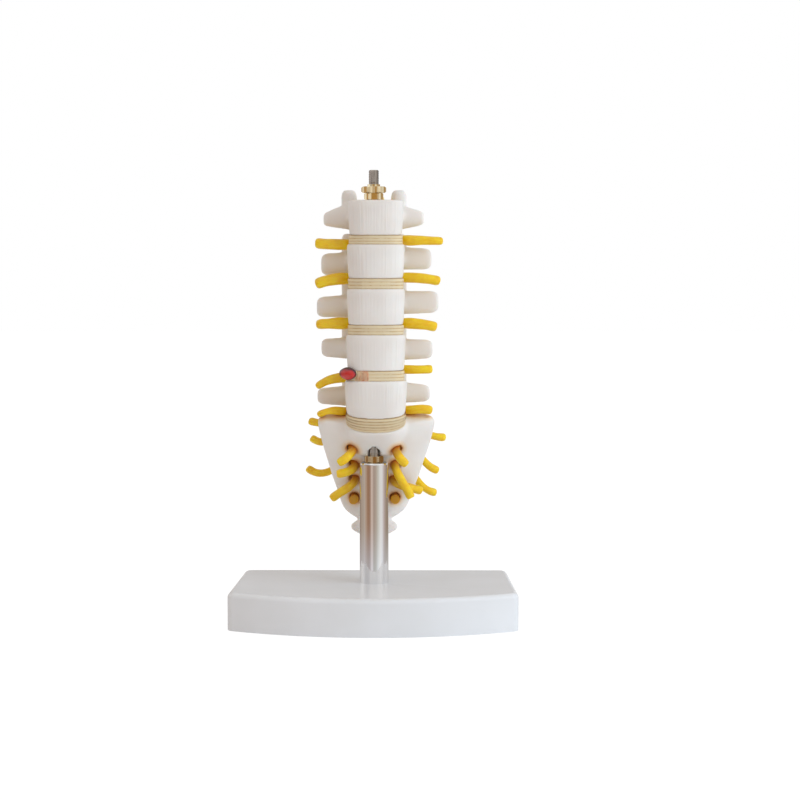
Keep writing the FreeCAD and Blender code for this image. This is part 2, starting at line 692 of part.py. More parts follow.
def plateau_centre():
    back = ahead(PLATEAU_LEAN)
    front = Vector(0, PLATEAU_FRONT, SEAT + PLATEAU_FRONT_RISE)
    return front + back * PLATEAU_HALF_DEPTH


def sacral_body():
    """The first sacral body, from the sloping plateau down into the slab."""
    back = ahead(PLATEAU_LEAN)
    down = back.cross(Vector(1, 0, 0)).normalize()
    if down.z > 0:
        down = down * -1
    front = Vector(0, PLATEAU_FRONT, SEAT + PLATEAU_FRONT_RISE)
    rings = []
    for drop, shrink, scale in [(0.0, 0.0, 0.97), (1.2, 0.0, 1.0), (5.0, 0.7, 0.95),
                                (10.0, 1.6, 0.86), (15.0, 3.0, 0.74)]:
        half_depth = PLATEAU_HALF_DEPTH - shrink
        centre = front + down * drop + back * (half_depth + 0.02 * drop)
        rings.append(body_ring(centre, PLATEAU_LEAN, PLATEAU_HALF_WIDTH * scale, half_depth,
                               0.98 if drop == 0 else 1.0))
    return loft(rings)


def sacral_facet(side):
    """Upper joint process of the sacrum, for the last lumbar vertebra."""
    rings = []
    for share, wide, thick in [(0.0, 1.05, 1.1), (0.25, 1.02, 1.05), (0.5, 1.0, 1.0),
                               (0.75, 0.96, 0.97), (0.92, 0.8, 0.84), (1.0, 0.52, 0.56)]:
        rise = SACRAL_FACET_FOOT + (SACRAL_FACET_TOP - SACRAL_FACET_FOOT) * share
        centre = Vector(side * SACRAL_FACET_OUT + SPINE_SHIFT,
                        SACRAL_FACET_BACK - 2.2 * (1 - share), SEAT + rise)
        rings.append(oval(centre, Vector(1, 0, 0), Vector(0, 1, 0), FACET_WIDTH / 2 * wide,
                          FACET_THICKNESS / 2 * thick))
    return loft(rings)


def crest_bump(bump):
    """One tubercle of the ridge down the sacrum's back."""
    centre = Vector(SPINE_SHIFT, bump.back, SEAT + bump.rise)
    rings = []
    for share, wide in [(-1.0, 1.25), (0.3, 0.9), (0.8, 0.7), (1.0, 0.4)]:
        point = centre + Vector(0, bump.half_depth * share, 0)
        rings.append(oval(point, Vector(1, 0, 0), Vector(0, 0, 1), CREST_THICKNESS / 2 * wide,
                          bump.half_height * (0.6 + 0.4 * wide)))
    return loft(rings)


def nerve_hole(hole, side):
    """A flared hole from the sacrum's hollow front to its back."""
    back = ahead(hole.lean)
    mouth = Vector(side * hole.out, hole.back, SEAT + hole.rise)
    start = mouth - back * HOLE_REACH
    outline = [(0.0, 0.0), (0.0, HOLE_FRONT_RADIUS * 1.5), (HOLE_REACH - 1.0, HOLE_FRONT_RADIUS * 1.1),
               (HOLE_REACH + HOLE_FLARE, HOLE_THROAT_RADIUS), (HOLE_LENGTH, HOLE_REAR_RADIUS),
               (HOLE_LENGTH, 0.0)]
    points = [Vector(radius, 0, along) for along, radius in outline]
    profile = Part.Face(Part.makePolygon(points + [points[0]]))
    turned = profile.revolve(Vector(0, 0, 0), Vector(0, 0, 1), 360)
    turned.rotate(Vector(0, 0, 0), Vector(1, 0, 0), hole.lean - 90)
    turned.translate(start)
    return turned


def seat_cut():
    """Flat seat for the column nut, and room for the column's top below it."""
    nut_room = NUT_FLATS / math.sqrt(3) + SEAT_GAP
    upper = rod_cylinder(nut_room, COLUMN_TOP - 1, SEAT)
    lower = rod_cylinder(COLUMN_DIAMETER / 2 + SEAT_GAP, BASE_HEIGHT, COLUMN_TOP + SEAT_GAP)
    return upper.fuse(lower)


def sacrum():
    slab = loft([slab_ring(station) for station in SACRUM_SLABS])
    coccyx = loft([slab_ring(station) for station in COCCYX_SLABS])
    solids = [slab, coccyx, sacral_body(), vault()]
    solids += [crest_bump(bump) for bump in SACRAL_CREST]
    solids += [sacral_facet(side) for side in (-1, 1)]
    whole = fuse_all(solids)
    recess = Part.makeCylinder(RECESS_RADIUS, RECESS_DEPTH,
                               Vector(0, -RECESS_DEPTH, SEAT + RECESS_RISE), Vector(0, 1, 0))
    cutters = [seat_cut(), recess, rod_cylinder(ROD_HOLE, SEAT - 2, SEAT + 40),
               canal_tube(SOFT_GAP, 0, len(SACRAL_CANAL))]
    cutters += [nerve_hole(hole, side) for hole in SACRAL_HOLES for side in (-1, 1)]
    for cutter in cutters:
        whole = whole.cut(cutter)
    return whole


# Torn disc


def core_shape():
    """The soft core that has burst out of the torn disc: an egg set along the rim."""
    upper = STACKS["l4"]
    lower = STACKS["l5"]
    turn = math.radians(CORE_ANGLE)
    half_width = upper.level.half_width
    half_depth = upper.level.half_depth
    rim = Vector(half_width * math.cos(turn) + SPINE_SHIFT, half_depth * math.sin(turn),
                 (upper.foot + lower.top) / 2 + CORE_LIFT)
    along = Vector(-half_width * math.sin(turn), half_depth * math.cos(turn), 0).normalize()
    out = Vector(math.cos(turn), math.sin(turn), 0).normalize()
    centre = rim + out * CORE_OUT
    rings = []
    for share in (-0.97, -0.75, -0.3, 0.3, 0.75, 0.97):
        swell = math.sqrt(1 - share ** 2)
        rings.append(oval(centre + along * (CORE_HALF_LENGTH * share), out, Vector(0, 0, 1),
                          CORE_HALF_DEPTH * swell, CORE_HALF_HEIGHT * swell))
    return loft(rings)


def plain_disc(name):
    upper = STACKS[name.split("_")[0]]
    lower = STACKS[name.split("_")[1]]
    scale = DISC_SCALE
    return disc_block(Vector(0, 0, lower.top), 0, Vector(0, 0, upper.foot), 0,
                      upper.level.half_width * scale, upper.level.half_depth * scale)


def wedge_disc():
    """The last disc fills the wedge between L5 and the sloping sacrum."""
    stack = STACKS["l5"]
    return disc_block(plateau_centre(), PLATEAU_LEAN, Vector(0, 0, stack.foot), stack.foot_lean,
                      stack.level.half_width * DISC_SCALE, stack.level.half_depth * DISC_SCALE)


# Soft nerves


def sac():
    """The nerve sac: straight down behind the bodies, then along the sacral canal."""
    top = STACKS["l1"].top + SAC_ABOVE
    bend = SEAT + SACRAL_CANAL[0].rise
    start = Vector(SPINE_SHIFT, SAC_BACK, bend)
    outline = oval(start, Vector(1, 0, 0), Vector(0, 1, 0), SAC_HALF_WIDTH, SAC_HALF_DEPTH)
    straight = Part.Face(outline).extrude(Vector(0, 0, top - bend))
    rings = [outline]
    for index in (1, 2, 3, 4):
        station = SACRAL_CANAL[index]
        before = SACRAL_CANAL[index - 1]
        after = SACRAL_CANAL[index + 1]
        way = Vector(0, after.back - before.back, after.rise - before.rise).normalize()
        up = Vector(1, 0, 0).cross(way).normalize()
        shrink = 1.0 - 0.11 * index
        centre = Vector(SPINE_SHIFT, station.back, SEAT + station.rise)
        rings.append(oval(centre, Vector(1, 0, 0), up, SAC_HALF_WIDTH * shrink,
                          SAC_HALF_DEPTH * shrink))
    return straight.fuse(loft(rings))


def lumbar_nerve(nerve, level_top):
    """From the sac's side, out between two vertebrae and forward past the body."""
    side = nerve.side
    thin = min(nerve.root_radius, 2.1)
    root = level_top + nerve.root_rise
    tip = level_top + nerve.tip_rise
    slope = (tip - root) / (nerve.reach - 15.4)
    stations = [((SAC_HALF_WIDTH + SOFT_GAP, SAC_BACK + 0.2, root + nerve.lift), thin * 0.9),
                ((8.6, 10.9, root + nerve.lift * 0.8), thin),
                ((12.2, 8.4 + 0.15 * nerve.back, root), (thin + nerve.root_radius) / 2),
                ((15.8, 4.5 + 0.5 * nerve.back, root + slope * 0.4), nerve.root_radius),
                ((nerve.reach - 1.2, nerve.back, tip), nerve.tip_radius)]
    placed = [(Vector(side * x + SPINE_SHIFT, back, rise), radius)
              for (x, back, rise), radius in stations]
    return tube(placed)


def hole_mouth(sprig):
    hole = next(hole for hole in SACRAL_HOLES if hole.name == sprig.name)
    mouth = Vector(sprig.side * hole.out, hole.back, SEAT + hole.rise)
    return mouth, ahead(hole.lean)


def seated(nerve, bone):
    """A soft nerve gives way where it lies against the bone that it comes out of."""
    shaped = nerve.cut(bone)
    return max(shaped.Solids, key=lambda solid: solid.Volume)


def front_sprig(sprig):
    """A nerve that leaves a hole of the sacrum forward and turns to its tip."""
    mouth, back = hole_mouth(sprig)
    tip = mouth + Vector(sprig.side * sprig.out, sprig.back, sprig.up)
    outer = mouth - back * 1.4
    knee = outer + (tip - outer) * 0.4 - back * 0.7
    return tube([(mouth + back * SPRIG_DEPTH, ROOT_RADIUS * 0.9), (outer, ROOT_RADIUS),
                 (knee, ROOT_RADIUS * 1.05), (tip, ROOT_RADIUS)])


def rear_sprig(sprig):
    """A nerve that leaves the back of a hole and runs out behind the sacrum."""
    mouth, back = hole_mouth(sprig)
    tip = Vector(sprig.side * sprig.out, sprig.back, SEAT + sprig.up)
    leave = mouth + back * REAR_EXIT[sprig.name]
    knee = leave + back * 3.4 + Vector(sprig.side * 1.2, 0, 0)
    low_point = knee + (tip - knee) * 0.55 - Vector(0, 0, sprig.dip)
    return tube([(leave - back * 2.5, REAR_ROOT_RADIUS), (leave + back, REAR_ROOT_RADIUS),
                 (knee + (tip - knee) * 0.12 - Vector(0, 0, sprig.dip * 0.3), REAR_ROOT_RADIUS),
                 (low_point, REAR_ROOT_RADIUS * 1.05), (tip, REAR_ROOT_RADIUS * 1.1)])


STACKS = stack_levels()
SIDE_NAMES = {-1: "left", 1: "right"}


def build():
    rod_z = STACKS["l1"].top
    save("base_shell", base_shell())
    washer = rod_cylinder(WASHER_DIAMETER / 2, WASHER_TOP - WASHER_THICKNESS, WASHER_TOP)
    save("base_washer", to_stand(washer.cut(rod_cylinder(ROD_HOLE, 0, WASHER_TOP + 1))))
    nut_bottom = WASHER_TOP - WASHER_THICKNESS - BASE_NUT_HEIGHT
    bore = ROD_DIAMETER / 2 + NUT_GAP
    save("base_nut", to_stand(hex_nut(NUT_FLATS, BASE_NUT_HEIGHT, nut_bottom, bore)))
    save("column_tube", to_stand(column_tube()))
    save("column_plug", to_stand(column_plug()))
    save("column_nut", to_stand(hex_nut(NUT_FLATS, COLUMN_NUT_HEIGHT, COLUMN_TOP, bore)))
    save("top_nut", to_stand(hex_nut(NUT_FLATS, TOP_NUT_HEIGHT, rod_z, bore)))
    fitting = top_fitting(rod_z + TOP_NUT_HEIGHT)
    save("top_fitting", to_stand(fitting))
    rod_top = rod_z + TOP_NUT_HEIGHT + TOP_HEX_HEIGHT + TOP_COLLAR_HEIGHT + ROD_ABOVE
    save("tie_rod", to_stand(tie_rod(rod_top)))

    for stack in STACKS.values():
        save("vertebra_" + stack.level.name, to_stand(vertebra(stack)))

    hole = rod_cylinder(ROD_HOLE, SEAT, rod_z + 10)
    core = core_shape()
    for name in DISC_HEIGHTS:
        disc = plain_disc(name).cut(hole)
        if name == "l4_l5":
            disc = disc.cut(core)
        save("disc_" + name, to_stand(disc))
    save("disc_l5_s1", to_stand(wedge_disc().cut(hole)))
    for name in ("l4", "l5"):
        core = core.cut(body_block(STACKS[name], 0.0))
    save("herniated_core", to_stand(core))

    bone = sacrum()
    save("sacrum", to_stand(bone))
    save("nerve_sac", to_stand(sac()))
    lower_name = {"l1": "l2", "l2": "l3", "l3": "l4", "l4": "l5"}
    for nerve in LUMBAR_NERVES:
        top = STACKS[lower_name[nerve.name]].top
        save("nerve_" + nerve.name + "_" + SIDE_NAMES[nerve.side],
             to_stand(lumbar_nerve(nerve, top)))
    for nerve in L5_NERVES:
        save("nerve_" + nerve.name + "_" + SIDE_NAMES[nerve.side],
             to_stand(seated(lumbar_nerve(nerve, SEAT), bone)))
    for sprig in FRONT_SPRIGS:
        save("sacral_nerve_" + sprig.name + "_" + SIDE_NAMES[sprig.side],
             to_stand(seated(front_sprig(sprig), bone)))
    for sprig in REAR_SPRIGS:
        save("rear_nerve_" + sprig.name + "_" + SIDE_NAMES[sprig.side],
             to_stand(seated(rear_sprig(sprig), bone)))


build()
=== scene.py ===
# %% [markdown]
# # A small lumbar spine on its stand
#
# The object is a desk model for showing patients their lower back: five vinyl vertebrae
# and a sacrum threaded on a steel rod, with clear amber discs between them, soft yellow
# nerves, one torn disc, and a chromed column on a white base. The solid model is already
# packed, so this lesson only dresses it. Everything stays in the solid model's frame, in
# metres, which is why no piece here is ever moved into place by hand.

# %% Load the frame
import math

import bmesh
import bpy
import numpy as np
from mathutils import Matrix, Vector
from mathutils.kdtree import KDTree


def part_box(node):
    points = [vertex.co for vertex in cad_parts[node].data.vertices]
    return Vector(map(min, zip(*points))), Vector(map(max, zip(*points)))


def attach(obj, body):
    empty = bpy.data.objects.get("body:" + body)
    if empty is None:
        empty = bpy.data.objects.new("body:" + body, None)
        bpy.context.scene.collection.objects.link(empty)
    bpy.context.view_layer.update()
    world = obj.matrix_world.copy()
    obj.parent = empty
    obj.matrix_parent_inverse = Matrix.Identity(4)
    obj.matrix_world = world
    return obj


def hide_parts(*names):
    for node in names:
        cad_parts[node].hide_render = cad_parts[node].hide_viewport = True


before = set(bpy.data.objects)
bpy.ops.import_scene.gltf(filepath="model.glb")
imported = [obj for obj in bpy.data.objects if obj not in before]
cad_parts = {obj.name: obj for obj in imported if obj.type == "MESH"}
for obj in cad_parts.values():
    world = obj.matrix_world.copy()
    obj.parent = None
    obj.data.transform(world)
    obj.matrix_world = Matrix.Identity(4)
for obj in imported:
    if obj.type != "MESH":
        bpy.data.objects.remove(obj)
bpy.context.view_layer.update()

MM = 0.001

# %% [markdown]
# ## Small helpers
#
# A colour is written as the sRGB hex value that a paint chart would give, and one
# function turns it into the linear numbers that a shader wants. One more function adds
# any kind of node: it takes the node's settings, and for each input either a plain value
# or the node that feeds it. The mixing node has inputs of the same names for numbers,
# vectors and colours, so its two colours are found by their places instead.

# %% Colours and nodes
MATH = "ShaderNodeMath"
RAMP = "ShaderNodeValToRGB"
ATTRIBUTE = "ShaderNodeAttribute"
XYZ = "ShaderNodeCombineXYZ"
MIX = "ShaderNodeMix"
BLENDED = {"data_type": "RGBA"}
MULTIPLIED = {"data_type": "RGBA", "blend_type": "MULTIPLY"}
COLOUR_A, COLOUR_B = 6, 7


def linear(hex_colour):
    values = [int(hex_colour[place:place + 2], 16) / 255 for place in (1, 3, 5)]
    return [v / 12.92 if v <= 0.04045 else ((v + 0.055) / 1.055) ** 2.4 for v in values] + [1.0]


def add(tree, kind, settings=None, inputs=None, stops=None):
    """Adds one node.

    A plain word for settings is the node's operation, and a tuple of inputs goes in order.
    stops are the (place, hex colour) pairs of a colour ramp."""
    made = tree.nodes.new(kind)
    if isinstance(settings, str):
        settings = {"operation": settings}
    for name, value in (settings or {}).items():
        setattr(made, name, value)
    if isinstance(inputs, tuple):
        inputs = dict(enumerate(inputs))
    for name, value in (inputs or {}).items():
        if isinstance(value, bpy.types.Node):
            value = next(output for output in value.outputs if output.enabled)
        if isinstance(value, bpy.types.NodeSocket):
            tree.links.new(value, made.inputs[name])
        else:
            made.inputs[name].default_value = value
    if stops:
        marks = made.color_ramp.elements
        marks[0].position, marks[0].color = stops[0][0], linear(stops[0][1])
        marks[1].position, marks[1].color = stops[-1][0], linear(stops[-1][1])
        for place, colour in stops[1:-1]:
            marks.new(place).color = linear(colour)
    return made


print("white is", linear("#FFFFFF"), "and middle grey", round(linear("#777777")[0], 3))

# %% Pieces, materials and grain
def new_piece(name, points=(), faces=()):
    """An object at the origin with a mesh of its own."""
    mesh = bpy.data.meshes.new(name)
    mesh.from_pydata(points, [], faces)
    piece = bpy.data.objects.new(name, mesh)
    bpy.context.scene.collection.objects.link(piece)
    return piece


def node_tree_of(owner):
    """The node tree of a material or a world, emptied."""
    owner.use_nodes = True
    owner.node_tree.nodes.clear()
    return owner.node_tree


def new_material(name):
    """A new material and its node tree, emptied."""
    material = bpy.data.materials.new(name)
    return material, node_tree_of(material)


def end_material(tree, height, depth_mm, strength, inputs):
    """Ends a material with its fine relief, depth_mm deep, and one Principled shader."""
    fine = add(tree, "ShaderNodeBump", inputs={
        "Height": height, "Distance": depth_mm * MM, "Strength": strength})
    shader = add(tree, "ShaderNodeBsdfPrincipled", inputs={"Normal": fine, **inputs})
    add(tree, "ShaderNodeOutputMaterial", inputs={"Surface": shader})


def grain(tree, size_mm, detail=3.0, roughness=0.5, stretch=(1, 1, 1)):
    """Noise whose blobs are about size_mm across on the real object."""
    place = add(tree, "ShaderNodeTexCoord").outputs["Object"]
    turned = add(tree, "ShaderNodeMapping", inputs={"Vector": place, "Scale": stretch})
    return add(tree, "ShaderNodeTexNoise", inputs={
        "Vector": turned, "Scale": 1 / (size_mm * MM), "Detail": detail, "Roughness": roughness})


print("helpers for pieces, materials and grain ready")

# %% [markdown]
# ## Camera
#
# The photograph was taken from about a metre away, with the lens nearly level with the
# top vertebra and tipped a few degrees down. The rim of the top vertebra is seen edge on
# and the top of the base is not, and the two together fix the height.

# %% Camera at the photograph's place
CAMERA_AT = (0.0203, -0.9656, 0.1844)
CAMERA_TIP = 4.59
CAMERA_TURN = 0.46
CAMERA_LENS = 91.1

camera = bpy.data.objects.new("camera", bpy.data.cameras.new("camera"))
camera.data.sensor_width = 36
camera.data.lens = CAMERA_LENS
camera.location = CAMERA_AT
camera.rotation_euler = (math.radians(90 - CAMERA_TIP), 0, math.radians(CAMERA_TURN))
bpy.context.scene.collection.objects.link(camera)
bpy.context.scene.camera = camera
bpy.context.scene.view_settings.view_transform = "Standard"
print("the camera stands", round(abs(CAMERA_AT[1]), 3), "m in front of the origin")

# %% [markdown]
# ## Stage and light
#
# The floor and the backdrop are white to the camera, and the floor keeps a faint shadow.
# The light is that of a soft window on the right: two cool lamps, one above the other, with
# a weak one low on the left and an even, slightly warm sky. The floor is just below the
# base, so that the two faces never touch.

# %% White floor and sky
FLOOR_SIZE = 6.0
FLOOR_DROP = 0.2 * MM
FLOOR_GLOW = 1.11
SHADOW_SHARE = 0.12
SKY_STRENGTH = 0.63


def seen_directly(tree):
    """1 for camera, glossy and transmission rays, which see the plain white."""
    path = add(tree, "ShaderNodeLightPath").outputs
    first = add(tree, MATH, "MAXIMUM", (path["Is Camera Ray"], path["Is Glossy Ray"]))
    return add(tree, MATH, "MAXIMUM", (first, path["Is Transmission Ray"]))


world = bpy.data.worlds.new("sky")
bpy.context.scene.world = world
sky = node_tree_of(world)
lit = add(sky, "ShaderNodeBackground", inputs={
    "Color": linear("#FFF4EB"), "Strength": SKY_STRENGTH})
white = add(sky, "ShaderNodeBackground", inputs={"Color": linear("#FFFFFF"), "Strength": 1.0})
both = add(sky, "ShaderNodeMixShader", inputs=(seen_directly(sky), lit, white))
add(sky, "ShaderNodeOutputWorld", inputs={"Surface": both})

floor_paint, paper = new_material("white paper floor")
matt = add(paper, "ShaderNodeBsdfDiffuse", inputs={"Color": linear("#F2F2F2")})
glow = add(paper, "ShaderNodeEmission", inputs={
    "Color": linear("#FFFFFF"), "Strength": FLOOR_GLOW})
mostly = add(paper, "ShaderNodeMixShader", inputs=(1 - SHADOW_SHARE, matt, glow))
shown = add(paper, "ShaderNodeMixShader", inputs=(seen_directly(paper), matt, mostly))
add(paper, "ShaderNodeOutputMaterial", inputs={"Surface": shown})

bpy.ops.mesh.primitive_plane_add(size=FLOOR_SIZE, location=(0, 0, -FLOOR_DROP))
floor = bpy.context.object
floor.name = "floor"
floor.data.materials.append(floor_paint)
floor.visible_glossy = False
print("floor", FLOOR_SIZE, "m wide, sky at", SKY_STRENGTH)

# %% Lamps: a tall, cool window on the right in two halves, and a weak panel low on the left
LAMPS = [
    ("window_right", (1.25, -0.62, 0.4), 1.2, 11.6, "#D8EEFF"),
    ("window_high", (1.15, -0.72, 0.85), 1.0, 2.6, "#E4F5FF"),
    ("panel_left", (-1.3, -0.5, 0.25), 0.8, 1.0, "#D8F0FF"),
]
AIM = Vector((0, 0, 0.11))

for name, place, size, watts, colour in LAMPS:
    lamp = bpy.data.lights.new(name, "AREA")
    lamp.shape = "SQUARE"
    lamp.size = size
    lamp.energy = watts
    lamp.color = linear(colour)[:3]
    holder = bpy.data.objects.new(name, lamp)
    holder.location = place
    holder.rotation_euler = (AIM - Vector(place)).to_track_quat("-Z", "Y").to_euler()
    holder.visible_glossy = False
    bpy.context.scene.collection.objects.link(holder)
    print(name, watts, "W")

# %% [markdown]
# Polished metal has no look of its own and shows the room, so a painted room that only
# reflections can see stands round the object. It is a wide drum painted in upright bands: a
# warm, half-dark room with a bright window on the right and a thin bright line beside the
# camera. The column's curved side squeezes them into its upright stripes. The drum has four
# zones of height, each fading into the next: the pale floor, the wall, the upper wall and
# the ceiling, which is what the glossy top of the base shows. The floor itself is hidden from
# reflections, and the drum's lowest zone stands in for it.

# %% The room's colours by compass angle: 0 is towards the camera, 90 to the right
WALL = [
    (-165, "#E4E0DC"), (-150, "#8D7868"), (-112, "#B2A191"), (-87, "#BDB0A3"),
    (-67, "#B89D87"), (-49, "#9E775B"), (-32, "#A07F69"), (-16, "#D8C3B4"),
    (-8, "#BEA798"), (0, "#AC998A"), (16, "#B8A797"), (32, "#CAC4B7"),
    (49, "#E5E2DC"), (67, "#E7E3E0"), (87, "#C0AEA7"), (112, "#A08E7B"),
    (150, "#958475"), (165, "#E4E0DC"), (180, "#EDEAE7"),
]
BY_THE_FLOOR = [
    (-150, "#B7B2B4"), (-112, "#CBC9CC"), (-87, "#D3D1D6"), (-67, "#C2C0C6"),
    (-49, "#B9B9BB"), (-32, "#BDBBC0"), (-16, "#EEEDF2"), (-8, "#D4D4D8"),
    (0, "#BFC2C0"), (16, "#C8CCCB"), (32, "#EAF0F4"), (49, "#FFFFFF"),
    (67, "#F4F8FF"), (87, "#C3C4C6"), (112, "#C5C5C5"), (150, "#D7D7D7"), (180, "#EDEAE7"),
]
UPPER_WALL = [
    (-150, "#C2C1C1"), (-112, "#FFFBF6"), (-92, "#C9BEB2"), (-64, "#7F7266"),
    (-14, "#8C7F74"), (-3, "#F4ECE2"), (8, "#FFFFFF"), (20, "#C8C0BA"),
    (56, "#E0DAD5"), (96, "#FFFFFF"), (150, "#C2C1C1"), (180, "#C2C1C1"),
]
CEILING = [
    (-150, "#C2C1C1"), (-112, "#FFFFFF"), (-84, "#F6F6FA"), (-70, "#BDBDC0"),
    (-44, "#C6C6CA"), (-24, "#FFFFFF"), (-8, "#ECECF0"), (8, "#C6C9C8"),
    (24, "#E6EAEC"), (40, "#FFFFFF"), (67, "#FFFFFF"), (84, "#BCBCBE"),
    (112, "#F6F6F6"), (150, "#C2C1C1"),
]
# The heights between which each zone takes over from the wall, in metres
ZONES = [((-0.30, -0.385), BY_THE_FLOOR), ((0.02, 0.16), UPPER_WALL), ((0.33, 0.41), CEILING)]
print("the room has", len(WALL), "bands, and", len(BY_THE_FLOOR), "by its floor")

# %% The drum, painted in those colours
ROOM_RADIUS = 2.4
ROOM_LOW, ROOM_HIGH = -1.1, 2.5
ROOM_SIDES = 96


def band_colours(tree, way, bands):
    """Colours by compass angle. The gradient's 0 is a quarter turn left of the camera."""
    stops = sorted(((angle / 360 + 0.25) % 1.0, colour) for angle, colour in bands)
    return add(tree, RAMP, inputs=(way,), stops=stops)


room_paint, walls = new_material("painted room")
spot = add(walls, "ShaderNodeTexCoord").outputs["Object"]
way = add(walls, "ShaderNodeTexGradient", {"gradient_type": "RADIAL"}, (spot,)).outputs["Fac"]
height = add(walls, "ShaderNodeSeparateXYZ", inputs=(spot,)).outputs["Z"]
shades = band_colours(walls, way, WALL)
for (begin, end), bands in ZONES:
    share = add(walls, "ShaderNodeMapRange", inputs={
        "Value": height, "From Min": begin, "From Max": end})
    shades = add(walls, MIX, BLENDED, {
        "Factor": share, COLOUR_A: shades, COLOUR_B: band_colours(walls, way, bands)})
paint = add(walls, "ShaderNodeEmission", inputs={"Color": shades, "Strength": 1.0})
add(walls, "ShaderNodeOutputMaterial", inputs={"Surface": paint})

# The drum's mesh is built about the origin, so object height is real height
turns = [math.tau * side / ROOM_SIDES for side in range(ROOM_SIDES)]
room = new_piece(
    "painted_room",
    [(ROOM_RADIUS * math.sin(turn), ROOM_RADIUS * math.cos(turn), z)
     for z in (ROOM_LOW, ROOM_HIGH) for turn in turns],
    [(side, (side + 1) % ROOM_SIDES, ROOM_SIDES + (side + 1) % ROOM_SIDES, ROOM_SIDES + side)
     for side in range(ROOM_SIDES)])
room.data.materials.append(room_paint)
for sight in ("camera", "diffuse", "shadow", "transmission", "volume_scatter"):
    setattr(room, "visible_" + sight, False)
print("the drum is", 2 * ROOM_RADIUS, "m wide and", ROOM_HIGH - ROOM_LOW, "m high")

# %% [markdown]
# ## Finishes
#
# Each finish starts from what the real one is. The bones are cast in plasticised PVC, a
# soft vinyl: off-white, satin, and clear enough for light to run a millimetre or two into
# it. That is subsurface scattering, and it is what tells vinyl from plaster. Where a
# yellow nerve lies against it the vinyl picks up an orange glow, so each bone carries a
# value called near_nerve on its points, worked out from the distance to the nerves. The
# shader paints that orange light into the colour, and it deepens to painted shade inside
# the sacrum's nerve holes.

# %% Bone vinyl: plasticised PVC, cast, satin off-white
BONE, tree = new_material("bone vinyl")
clouds = add(tree, RAMP, inputs=(grain(tree, 14.0, 1.5),),
             stops=[(0.3, "#EAE4DF"), (0.7, "#F1EDE9")])
near = add(tree, ATTRIBUTE, {"attribute_name": "near_nerve"}).outputs["Fac"]
# near_nerve paints the nerves' orange light into the vinyl, deepening to painted shade in the
# holes
painted_nerve_light_and_shade = add(tree, RAMP, inputs=(near,), stops=[
    (0.0, "#FFFFFF"), (0.4, "#FDF1DE"), (0.75, "#F0C48C"), (1.0, "#C06C2C")])
# Upright streaks 0.9 mm wide, as the mould took them from a real bone, and fine pores
streaks = grain(tree, 0.9, 2.0, 0.6, (1, 1, 0.12))
height = add(tree, MATH, "MULTIPLY_ADD", (grain(tree, 0.35, 2.0), 0.3, streaks))
end_material(tree, height, 0.12, 0.5, {
    "Base Color": add(tree, MIX, MULTIPLIED, {
        "Factor": 1.0, COLOUR_A: clouds, COLOUR_B: painted_nerve_light_and_shade}),
    "Roughness": 0.4, "IOR": 1.53, "Subsurface Weight": 0.3,
    "Subsurface Radius": (1.0, 0.75, 0.6), "Subsurface Scale": 1.6 * MM,
    "Coat Weight": 0.12, "Coat Roughness": 0.22})
print(BONE.name, len(tree.nodes), "nodes")

# %% [markdown]
# The discs are the same plastic without white in it, so they are amber. A real disc is
# built in layers, and the model's discs show a darker line where two of them meet. Bands by
# height would do for level discs, but the last one is a sloping wedge, so each disc carries
# a value called layer_side, which is 0 in the cleft between two layers.

# %% Disc vinyl: amber, darker between its layers, with painted orange light near the nerves
DISC, tree = new_material("amber disc vinyl")
side = add(tree, ATTRIBUTE, {"attribute_name": "layer_side"}).outputs["Fac"]
cloudy = add(tree, MATH, "MULTIPLY_ADD", (grain(tree, 3.0), 0.35, -0.17))
banded = add(tree, MATH, {"operation": "ADD", "use_clamp": True}, (side, cloudy))
clear = add(tree, RAMP, inputs=(banded,), stops=[
    (0.0, "#BE9662"), (0.12, "#D3B384"), (0.3, "#E3CDA6"), (1.0, "#EAD9B8")])
near = add(tree, ATTRIBUTE, {"attribute_name": "near_nerve"}).outputs["Fac"]
# Painted orange light from the nerves on the clear amber
painted_nerve_light_and_shade = add(tree, RAMP, inputs=(near,), stops=[
    (0.0, "#FFFFFF"), (0.5, "#F8E3C2"), (1.0, "#E6A158")])
height = grain(tree, 1.2)
end_material(tree, height, 0.1, 0.35, {
    "Base Color": add(tree, MIX, MULTIPLIED, {
        "Factor": 1.0, COLOUR_A: clear, COLOUR_B: painted_nerve_light_and_shade}),
    "Roughness": 0.34, "IOR": 1.5, "Subsurface Weight": 0.12,
    "Subsurface Radius": (1.0, 0.7, 0.4), "Subsurface Scale": 1.0 * MM,
    "Coat Weight": 0.12, "Coat Roughness": 0.15})
print(DISC.name, len(tree.nodes), "nodes")

# %% [markdown]
# The nerves are soft yellow PVC with a wet gloss. Red light runs furthest into it, so the
# vinyl is warm where it is thick, and it turns orange where it sits in a hole. Subsurface
# scattering gives only a part of that, so the value near_bone blends in a deep orange,
# which is painted light and painted shade where the nerve sits in a hole.

# %% Nerve vinyl: yellow, with fine lengthwise grain
NERVE, tree = new_material("yellow nerve vinyl")
# near_bone blends in painted orange light and painted shade where the nerve sits in a hole
near = add(tree, ATTRIBUTE, {"attribute_name": "near_bone"}).outputs["Fac"]
yellow = add(tree, RAMP, inputs=(grain(tree, 4.0),), stops=[(0.3, "#F0C006"), (0.7, "#FAD818")])
height = grain(tree, 0.7, 2.0, 0.5, (0.2, 1, 1))
end_material(tree, height, 0.12, 0.4, {
    "Base Color": add(tree, MIX, BLENDED, {
        "Factor": near, COLOUR_A: yellow, COLOUR_B: linear("#AC500B")}),
    "Roughness": 0.32, "IOR": 1.5, "Subsurface Weight": 0.3,
    "Subsurface Radius": (1.0, 0.55, 0.06), "Subsurface Scale": 1.4 * MM,
    "Coat Weight": 0.05, "Coat Roughness": 0.15})
print(NERVE.name, len(tree.nodes), "nodes")
